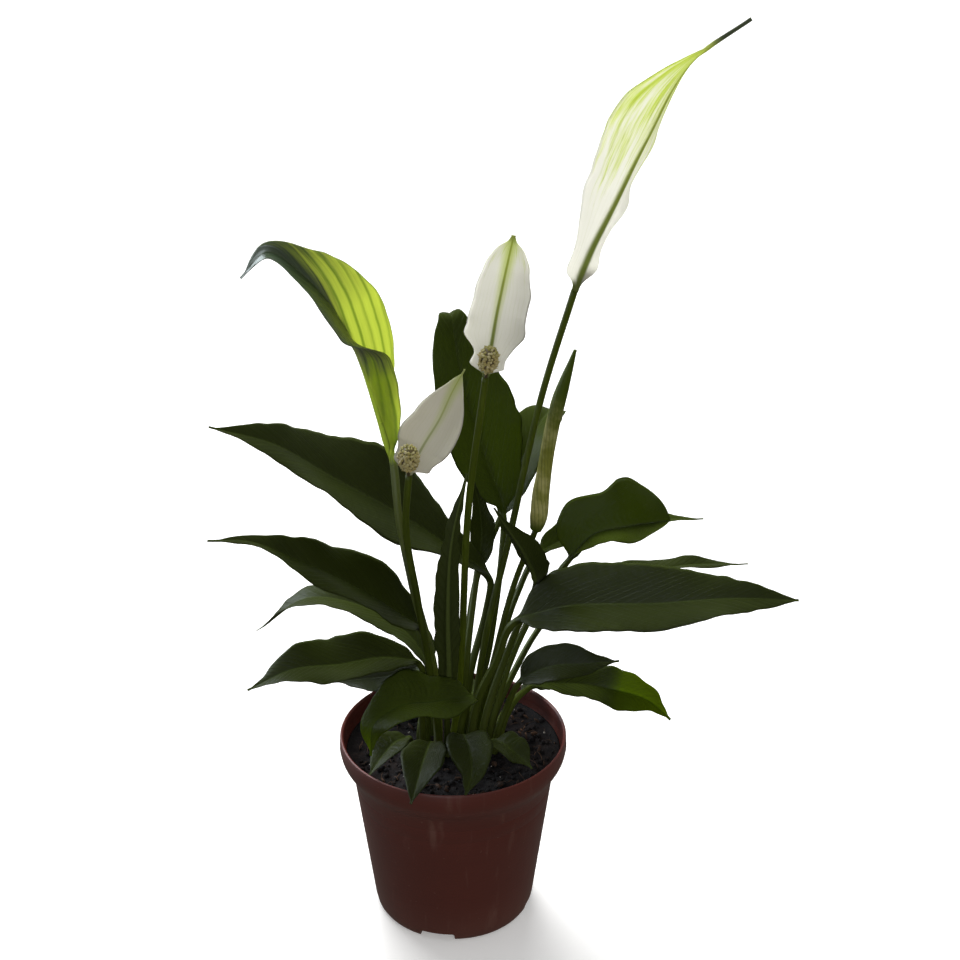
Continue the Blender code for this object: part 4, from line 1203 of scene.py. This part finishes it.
# blooms: a stalk, an open spathe and a spadix each
bloomUsual = {
    "radius": 1.8,
    "belly": 0.45,
    "shoulder": 0.7,
    "taper": 0.8,
    "cup": 0.35,
    "lean": 0.25,
    "tail": 0.04,
    "tailWidth": 0.45,
    "roll": (0.0, 0.0),
    "thickness": 0.42,
    # shares of the length between which white turns green
    "green": (0.80, 1.25),
    "through": 0.35,
    # lobes and ripple as those of a leaf
    "lobes": [],
    "ripple": 0.7,
    "rippleSize": 9.0,
    "veins": 8.0,
    "ribSize": 1.0,
    "ribShade": 0.9,
    "white": (0.88, 0.88, 0.84),
    # where the tip's own colour starts
    "tip": (0.93, (0.46, 0.52, 0.18)),
    "tailThickness": 0.42,
    # how much more light the margin lets through
    "thinMargin": 0.3,
    # spans of the mesh across half a spathe and along it
    "across": 30,
    "along": 110,
}
blooms = {
    "tall": dict(
        root=(11, 12), stalk=[(17, 18, 151), (29, 26, 205), (47, 34, 290), (61, 33, 341)],
        spathe=[(67, 27, 361), (78, 21, 388), (91, 14, 420), (112, 0, 463), (134, -5, 480)],
        heading=-85, halfWidth=(17, 22), spadix=(4.2, 15.0), belly=0.74, shoulder=1.05, taper=0.6,
        cup=0.5, lean=0.4, tail=0.15, roll=(10, 60), green=(0.40, 0.88), through=0.56, ribSize=1.8,
        tailWidth=1.1, tailThickness=1.7, tip=(0.86, (0.10, 0.13, 0.09)), thinMargin=0.05,
        lobes=[
            (0.07, 1, 5.5, 0.06), (0.06, -1, 5.0, 0.07), (0.28, 1, 6.0, 0.045),
            (0.38, 1, -2.5, 0.04), (0.49, 1, 6.0, 0.05), (0.45, -1, -2.0, 0.1),
        ],
    ),
    "centre": dict(
        root=(0, 3), stalk=[(3, 2, 124), (5, 0, 162), (9, -9, 247), (17, -12, 313)],
        spathe=[(19, -8, 323), (22, -3, 340), (26, -1, 360), (30, -5, 381)],
        heading=90, halfWidth=(14, 14), spadix=(4.8, 14.0), taper=0.6,
        through=0.46, ripple=1.6, tail=0.0, tailWidth=1.6,
        lobes=[
            (0.05, 1, 4.0, 0.06), (0.05, -1, 3.5, 0.05), (0.16, 1, -1.2, 0.05), (0.27, 1, 2.0, 0.05),
            (0.5, 1, -1.2, 0.1), (0.30, -1, 2.2, 0.07), (0.6, -1, 0.8, 0.06), (0.955, 1, -1.9, 0.035),
            (0.955, -1, -1.9, 0.035), (0.80, 1, 0.6, 0.05), (0.80, -1, 0.6, 0.05),
        ],
    ),
    "left": dict(
        root=(-7, -7), stalk=[(-10, -11, 137), (-17, -18, 195), (-22, -23, 241), (-20, -24, 267)],
        spathe=[(-14, -18, 278), (-5, -13, 292), (1, -11, 305), (7, -12, 317)],
        heading=80, halfWidth=(14, 14), spadix=(5.2, 14.0), belly=0.36, taper=1.0,
        # painted shade: this bloom's white is darker than the others' to stand in for the shade it lies in
        through=0.18, ripple=1.1, ribSize=0.7, ribShade=0.55, white=(0.80, 0.78, 0.68),
        lobes=[(0.06, 1, 3.5, 0.06), (0.06, -1, 3.0, 0.06), (0.45, 1, -1.2, 0.1), (0.8, 1, -0.8, 0.08)],
    ),
}
flowerStalk = {
    "span": 2.5,
    "sides": 24,
    "ribs": 9,
    "ribDepth": 0.025,
    "green": (0.038, 0.054, 0.007),
    "pale": (0.100, 0.140, 0.020),
    "foot": (0.11, 0.14, 0.030),
    "share": 0.24,
    "through": (0.46, 0.54, 0.07, 1.0),
}


def growStalk(name, root, points, radius, heading, node, surface):
    foot, dense = stemCurve(root, points)
    shares = np.linspace(0, 1, int(lengthOf(dense) / flowerStalk["span"]))
    places, ways, t = fromFoot(foot, dense, len(dense) - 1, shares)
    side, up = framesAlong(ways, heading)
    turns = np.linspace(0, fullTurn, flowerStalk["sides"] + 1)
    ribs = 1 + flowerStalk["ribDepth"] * np.cos(flowerStalk["ribs"] * turns)
    girth = radius * (1.02 - 0.06 * t)[:, None] * ribs
    piece = loft(name, ringsAlong(places, side, up, turns, girth), {"along": t[:, None]})
    hand(piece, surface, "flower_stalk", node)
    return places[-1], ways[-1], up[-1]


def growSpathe(name, bloom, base, way, heading, node):
    dense = curveThrough([base, *bloom["spathe"]], way)
    half = bloom["across"]
    turns = np.linspace(0, fullTurn, 2 * half + 1)
    s = sharesAcross(half, 1.15)
    x = sharesAlong(bloom["along"])
    left = (1 - x)[:, None]
    places, ways, gone = walk(dense, 0, len(dense) - 1, x)
    side, up = framesAlong(ways, heading, between(bloom["roll"], x))
    swell = outline(bloom, np.minimum(x / (1 - bloom["tail"]), 1.0))[:, None]
    sideWidth = np.where(s < 0, bloom["halfWidth"][1], bloom["halfWidth"][0])
    wide = lobed(np.maximum(sideWidth * swell, bloom["tailWidth"]), bloom["lobes"], x, s, 0.2)
    across = s * wide
    out = np.abs(across)
    veins = np.abs(s) ** 0.85 * bloom["veins"]

    # cupped, rippled at its margins and faintly ribbed
    height = wide * (bloom["cup"] * ease(0.0, 0.35, x) * ease(1.0, 0.6, x))[:, None] * s**2
    seed = sum(map(ord, name)) * 0.23
    ripple = roughness3(ripples(gone, s, 30, seed), bloom["rippleSize"], seed)
    ripple = bloom["ripple"] * ripple * np.abs(s) ** 2
    height += ripple * ease(0.05, 0.2, x)[:, None] * ease(1.0, 0.85, x)[:, None]
    height += 0.07 * np.cos(fullTurn * veins) * ease(1.0, 3.0, out) * ease(1.0, 0.85, np.abs(s))
    middle, outward = sheet(places, side, up, across, height)
    onTail = ease(0.97 - bloom["tail"], 1.01 - bloom["tail"], x)[:, None]
    thin = bloom["thickness"] + onTail * (bloom["tailThickness"] - bloom["thickness"])
    thin = np.sqrt(np.clip(1 - s**6, 0, 1)) * thin / 2
    ridge = hump(0, 1, out / (0.5 + 0.8 * left) / bloom["ribSize"])
    ridge = (0.25 + 0.8 * left) * ridge * ease(1.0, 0.9, x)[:, None]
    dip = 0.05 * hump(0, 1, out / 0.9)
    fade = ease(1.0, 0.96, x)[:, None]
    upper = middle + outward * (thin - dip * fade)[..., None]
    lower = middle - outward * (thin + ridge)[..., None]

    # it grows from a claw as stout as its stalk
    stout = 0.97 * bloom["radius"]
    clawDepth = 0.8 + (stout - 0.8) * ease(0.06, 0.0, x)[:, None]
    share = ease(0.0, 0.07, x)[:, None, None]
    claw = ringsAlong(places, side, up, turns, stout, clawDepth)
    rows = claw * (1 - share) + bothFaces(upper, lower) * share
    traits = {
        "vein": bothFaces(veins + 0 * wide),
        "rib": bothFaces(out / (0.40 + 0.70 * left**1.5) / bloom["ribSize"]),
        "fromRib": bothFaces(out + 0 * left),
        "edge": bothFaces(np.abs(s) + 0 * wide),
        "along": bothFaces(x[:, None] + 0 * s),
        "under": underTrait(half),
    }
    hand(loft(name, rows, traits), spatheSkin(name, bloom), "spathe", node)


# spadix: a core packed with small florets in crossing spirals
spadixForm = {
    "slimming": 0.88,  # of the radius given for each bloom
    "stipeRadius": 0.8,
    "stipeLength": 3.8,
    "underFlorets": 0.6,
    "bluntness": 2.6,
    "sides": 24,
    "spans": 24,
    "floretSize": 1.55,
    "rowGap": 1.28,
    "sunk": 0.35,
    "tipSize": 1.4,
    # (rise, share of the width) from the foot of a floret, open underneath, up to its blunt pistil
    "floretFoot": -0.25,
    "floretSides": 6,
    "floretSteps": [(0.27, 1.04), (0.16, 0.80), (0.02, 0.52), (0.20, 0.66), (0.08, 0.55)],
    "pistilFrom": 0.05,
    "pistilRise": 0.40,
    "tan": (0.52, 0.43, 0.18),
    "cream": (0.68, 0.61, 0.35),
    "olive": (0.32, 0.31, 0.055),
    # painted shade: a dark brown for the shaded gaps between the florets, given to the core and to the feet
    # of the florets
    "gap": (0.154, 0.121, 0.055),
}


def floretSeed():  # one millimetre across
    deselectAll()
    sides = spadixForm["floretSides"]
    bpy.ops.mesh.primitive_circle_add(vertices=sides, radius=0.5 * mm)
    bpy.ops.object.mode_set(mode="EDIT")
    bpy.ops.mesh.select_all(action="SELECT")
    height = spadixForm["floretFoot"]
    for rise, share in spadixForm["floretSteps"]:
        height += rise
        bpy.ops.mesh.extrude_region_move(TRANSFORM_OT_translate={"value": (0, 0, rise * mm)})
        bpy.ops.transform.resize(value=(share, share, 1), center_override=(0, 0, height * mm))
    bpy.ops.mesh.edge_face_add()
    faceOutwards()
    points, faces = takeSeed()
    points[:sides, 2] = spadixForm["floretFoot"]
    return points, faces


def unit(way):
    return way / np.linalg.norm(way)


def growSpadix(name, base, axis, heading, size, node, surface):
    form = spadixForm
    blunt = form["bluntness"]
    radius, length = size
    radius *= form["slimming"]
    axis = unit(axis)
    side, up = [rows[0] for rows in framesAlong(axis[None], heading)]
    start = base + axis * form["stipeLength"]

    # stipe and core, under the florets
    t = np.linspace(0, 1, form["spans"] + 1)
    girth = (radius - form["underFlorets"]) * np.sqrt(np.clip(1 - np.abs(2 * t - 1) ** blunt, 0, 1))
    girth = np.concatenate([[form["stipeRadius"]] * 2, girth[1:]])[:, None]
    core = start + axis * (t * length)[:, None]
    places = np.concatenate([[base, base + axis * (form["stipeLength"] + 0.4)], core[1:]])
    turns = np.linspace(0, fullTurn, form["sides"] + 1)
    rows = ringsAlong(places, np.tile(side, (len(places), 1)), np.tile(up, (len(places), 1)), turns, girth)
    shares = np.concatenate([[0, 0], t[1:]])[:, None]
    hand(loft(name, rows, {"along": shares, "pistil": -1.0, "tone": 0.5}), surface, "spadix", node)

    # florets
    points, faces = floretSeed()
    spots = []
    shades = []
    tones = []
    rng = np.random.default_rng(int(radius * 100))
    rowCount = int(length / form["rowGap"])
    around = int(fullTurn * radius / form["floretSize"])
    for row in range(rowCount + 1):
        u = (row + 0.3) / (rowCount + 0.6)
        reach = (radius + 0.05) * math.sqrt(max(1 - abs(2 * u - 1) ** blunt, 0.0))
        count = max(int(round(around * reach / radius)), 3)
        steep = radius * blunt / 2 * np.sign(2 * u - 1) * abs(2 * u - 1) ** (blunt - 1)
        slope = -steep / max(reach / radius, 0.25) / length * 2
        for k in range(count):
            angle = fullTurn * (k + 0.5 * (row % 2)) / count + rng.uniform(-0.16, 0.16)
            outward = side * math.cos(angle) + up * math.sin(angle)
            normal = unit(outward - axis * slope)
            across = unit(np.cross(axis, normal))
            normal = unit(normal + 0.35 * rng.normal(size=3))  # no two face quite the same way
            across = unit(across - normal * (across @ normal))
            grown = form["floretSize"] * (0.8 + 0.2 * reach / radius) * rng.uniform(0.70, 1.20)
            axes = np.array([across, np.cross(normal, across), normal * rng.uniform(0.7, 1.5)]) * grown
            away = reach - form["sunk"] + rng.uniform(-0.15, 0.25)
            spots.append((start + axis * (length * u + rng.uniform(-0.25, 0.25)) + outward * away, axes))
            shades.append(u)
            tones.append(rng.uniform())
    tipAxes = np.array([side, np.cross(axis, side), axis]) * form["tipSize"]
    spots.append((start + axis * (length - 0.2), tipAxes))
    shades.append(1.0)
    tones.append(0.5)
    florets = copies(name + "Florets", (points, faces), spots, {"along": shades, "tone": tones})
    tall = np.clip((points[:, 2] - form["pistilFrom"]) / form["pistilRise"], 0, 1)
    addTrait(florets, "pistil", np.tile(tall, len(spots)))
    hand(florets, surface, "spadix")


def stalkSkin():
    surface, tree, shader = newSurface("stalkSkin")
    place = objectPlace(tree)
    streak = grain(tree, place, 420.0, 4.0, 0.6, (1.0, 1.0, 0.05))
    cloud = grain(tree, place, 60.0, 3.0)
    pale = times(tree, step(tree, 0.45, 0.75, streak), 0.7)
    colour = blend(tree, pale, flowerStalk["green"], flowerStalk["pale"])
    colour = blend(tree, times(tree, cloud, 0.35), colour, flowerStalk["green"])
    colour = blend(tree, step(tree, 0.12, 0.0, trait(tree, "along")), colour, flowerStalk["foot"])
    finishWith(tree, shader, colour, 0.45, 0.12)
    relief(tree, shader, streak, 0.06)
    # the stalk lets a little light through at its sides
    letThrough(tree, shader, flowerStalk["share"], flowerStalk["through"])
    return surface


spatheColours = {
    "whiteShade": (0.91, 0.90, 0.86),  # of the white, by red, green and blue, where it is clouded
    "green": (0.52, 0.60, 0.20),
    "rib": (0.17, 0.22, 0.008),
    "ribTop": (0.44, 0.49, 0.12),
    "vein": (0.55, 0.60, 0.30),
    "through": (0.95, 0.95, 0.91),
    "throughGreen": (0.79, 0.88, 0.28),
}


def spatheSkin(name, bloom):
    surface, tree, shader = newSurface(name + "Skin")
    place = objectPlace(tree)
    along, vein, rib, fromRib, edge = [
        trait(tree, each) for each in ("along", "vein", "rib", "fromRib", "edge")
    ]
    cloud = grain(tree, place, 60.0, 4.0, 0.6)
    fine = grain(tree, place, 900.0, 3.0, 0.6)
    # streaks that run the length of the spathe
    flow = addNode(tree, "ShaderNodeCombineXYZ", {0: vein, 1: times(tree, along, 1.6)}).outputs[0]
    streak = grain(tree, flow, 2.2, 4.0, 0.65)
    line = step(tree, 0.30, 0.5, fromLine(tree, scaled(tree, cloud, 0.9, vein)))
    line = times(tree, line, step(tree, 0.3, 0.7, streak))
    line = times(tree, line, step(tree, 1.0, 0.7, edge))
    ribMask = sums(tree, "SUBTRACT", 1.0, step(tree, 0.45, 1.5, rib))
    ribMask = sums(tree, "MAXIMUM", ribMask, step(tree, 0.045, 0.015, along))
    ribShare = times(tree, ribMask, bloom["ribShade"])
    # green that spreads from the rib, further toward the tip
    reach = scaled(tree, along, 4.5, 1.2)
    beside = sums(tree, "SUBTRACT", 1.0, step(tree, 0.0, 1.0, sums(tree, "DIVIDE", fromRib, reach)))
    beside = times(tree, beside, scaled(tree, along, 0.8, 0.05), clamp=True)
    greenFrom = scaled(tree, sums(tree, "SUBTRACT", streak, 0.5), 1.6, along)
    green = sums(tree, "MAXIMUM", step(tree, *bloom["green"], greenFrom), beside)
    tipFrom, tipColour = bloom["tip"]
    tipPart = step(tree, tipFrom, tipFrom + 0.06, along)
    ribColour = blend(tree, step(tree, 0.1, 0.9, along), spatheColours["rib"], spatheColours["ribTop"])
    clouded = shaded(bloom["white"], spatheColours["whiteShade"])
    colour = blend(tree, cloud, bloom["white"], clouded)
    colour = blend(tree, green, colour, spatheColours["green"])
    lineShare = times(tree, line, scaled(tree, green, 0.5, 0.15))
    colour = blend(tree, lineShare, colour, spatheColours["vein"])
    colour = blend(tree, ribShare, colour, ribColour)
    colour = blend(tree, times(tree, tipPart, 0.85), colour, tipColour)
    finishWith(tree, shader, colour, 0.55, 0.2)
    normal = relief(tree, shader, scaled(tree, fine, 0.3, times(tree, line, -0.6)), 0.08)
    passed = blend(tree, green, spatheColours["through"], spatheColours["throughGreen"])
    passed = blend(tree, times(tree, lineShare, 0.8), passed, spatheColours["ribTop"])
    passed = blend(tree, ribShare, passed, ribColour)
    passed = blend(tree, tipPart, passed, tipColour)
    # the margin is thinner and lets more light through
    share = scaled(tree, step(tree, 0.86, 1.0, edge), bloom["thinMargin"], bloom["through"])
    letThrough(tree, shader, share, passed, normal)
    return surface


def spadixSkin():
    surface, tree, shader = newSurface("spadixSkin")
    place = objectPlace(tree)
    along, pistil, tone = [trait(tree, each) for each in ("along", "pistil", "tone")]
    fine = grain(tree, place, 1100.0, 3.0, 0.6)
    cloud = grain(tree, place, 260.0, 3.0, 0.6)
    ripening = step(tree, 0.75, 1.15, scaled(tree, tone, 0.35, along))
    colour = blend(tree, ripening, spadixForm["tan"], spadixForm["olive"])
    pale = times(tree, pistil, step(tree, 0.1, 0.9, tone), clamp=True)
    colour = blend(tree, pale, colour, spadixForm["cream"])
    colour = blend(tree, times(tree, step(tree, 0.35, 0.75, cloud), 0.45), colour, spadixForm["olive"])
    # painted shade: the core and the lower part of each floret take the gap colour, darkest where the florets
    # meet
    colour = blend(tree, step(tree, 0.25, -0.1, pistil), colour, spadixForm["gap"])
    finishWith(tree, shader, colour, 0.6, 0.35)
    relief(tree, shader, fine, 0.06)
    return surface


def makeBlooms(stalkSurface):
    spadixSurface = spadixSkin()
    for key, bloom in blooms.items():
        bloom = {**bloomUsual, **bloom}
        heading = math.radians(bloom["heading"])
        name = key + "Bloom"
        node = "bloom_" + key
        stalk = (bloom["root"], bloom["stalk"], bloom["radius"], heading)
        top, way, up = growStalk(name + "Stalk", *stalk, node + "_stalk", stalkSurface)
        foot = top + way * planting["fit"]
        growSpathe(name + "Spathe", bloom, foot - up * 0.8, way, heading, node + "_spathe")
        axis = way + up * bloom["lean"]
        spadix = (foot + up * 0.9, axis, heading, bloom["spadix"])
        growSpadix(name + "Spadix", *spadix, node + "_spadix", spadixSurface)
    print(len(blooms), "blooms made")


# bud: a spathe still rolled up round itself
bud = {
    "root": (13, 5),
    "stalk": [(23, 13, 148), (32, 18, 184), (43, 17, 217)],
    "heading": 90.0,
    "stalkRadius": 1.6,
    "route": [(46, 17, 241), (52, 16, 282), (61, 14, 317)],
    "radius": 3.8,
    "swelling": 1.3,
    "tipRadius": 0.2,
    "overlap": 0.22,
    "wrap": 0.985,
    "seam": 200.0,
    "twist": 150.0,
    "around": 72,
    "along": 120,
    "ribs": 13,
    "ribDepth": 0.012,
    "white": (0.56, 0.54, 0.22),
    "cream": (0.28, 0.29, 0.055),
    "green": (0.060, 0.092, 0.007),
    "line": (0.080, 0.095, 0.010),
    "through": (0.6, 0.66, 0.3),
    "throughGreen": (0.40, 0.50, 0.06),
}


def makeBud(stalkSurface):
    heading = math.radians(bud["heading"])
    stalk = (bud["root"], bud["stalk"], bud["stalkRadius"], heading)
    top, way, _ = growStalk("budStalk", *stalk, "bud_stalk", stalkSurface)
    dense = curveThrough([top + way * planting["fit"], *bud["route"]], way)
    x = np.linspace(0, 1, bud["along"] + 1)
    places, ways, _ = walk(dense, 0, len(dense) - 1, x)
    side, up = framesAlong(ways, heading)
    swollen = bud["swelling"] * ease(0.0, 0.08, x) * ease(0.42, 0.12, x)
    girth = (bud["radius"] + swollen) * ease(-0.12, 0.03, x) * ease(1.12, 0.68, x) + bud["tipRadius"]
    share = np.linspace(0, 1, bud["around"] + 1)
    angles = np.radians(bud["seam"] + bud["twist"] * x)[:, None] + fullTurn * bud["wrap"] * share
    # the free edge lies on the turn below it, as a rounded step
    rolled = 1 - bud["overlap"] * share - 0.10 * hump(0, 0.012, share)
    beats = share * bud["ribs"] + bud["ribs"] * x[:, None]
    ribs = 1 + bud["ribDepth"] * np.cos(fullTurn * beats) * ease(0.02, 0.1, share) * ease(1.0, 0.9, share)
    rows = ringsAlong(places, side, up, angles, girth[:, None] * rolled * ribs)
    rows = np.concatenate([rows, rows[:, :1]], axis=1)
    piece = loft("budSpathe", rows, {"along": x[:, None], "round": np.append(share, 1.0)[None]})
    hand(piece, budSkin(), "bud", "bud_spathe")
    print("bud made")


def budSkin():
    surface, tree, shader = newSurface("budSkin")
    place = objectPlace(tree)
    along, around = trait(tree, "along"), trait(tree, "round")
    cloud = grain(tree, place, 90.0, 4.0, 0.6)
    fine = grain(tree, place, 900.0, 3.0, 0.6)
    # lines that run round the bud as they climb
    lines = scaled(tree, along, bud["ribs"], times(tree, around, bud["ribs"]))
    line = step(tree, 0.28, 0.5, fromLine(tree, scaled(tree, cloud, 0.9, lines)))
    colour = blend(tree, step(tree, 0.35, 0.65, cloud), bud["white"], bud["cream"])
    # green at the foot and toward the tip
    clouded = scaled(tree, cloud, 0.3, along)
    green = sums(tree, "MAXIMUM", step(tree, 0.50, 0.95, clouded), step(tree, 0.10, 0.0, along))
    colour = blend(tree, times(tree, line, 0.55), colour, bud["line"])
    colour = blend(tree, green, colour, bud["green"])
    rolledEdge = sums(tree, "SUBTRACT", 1.0, step(tree, 0.0, 0.05, around))
    colour = blend(tree, times(tree, rolledEdge, 0.7), colour, bud["line"])
    finishWith(tree, shader, colour, 0.5, 0.1)
    normal = relief(tree, shader, scaled(tree, fine, 0.3, times(tree, line, -0.5)), 0.07)
    letThrough(tree, shader, 0.15, blend(tree, green, bud["through"], bud["throughGreen"]), normal)
    return surface


setUpStudio()
makePot()
makeSoil()
makeLeaves()
greenStalk = stalkSkin()
makeBlooms(greenStalk)
makeBud(greenStalk)
deselectAll()
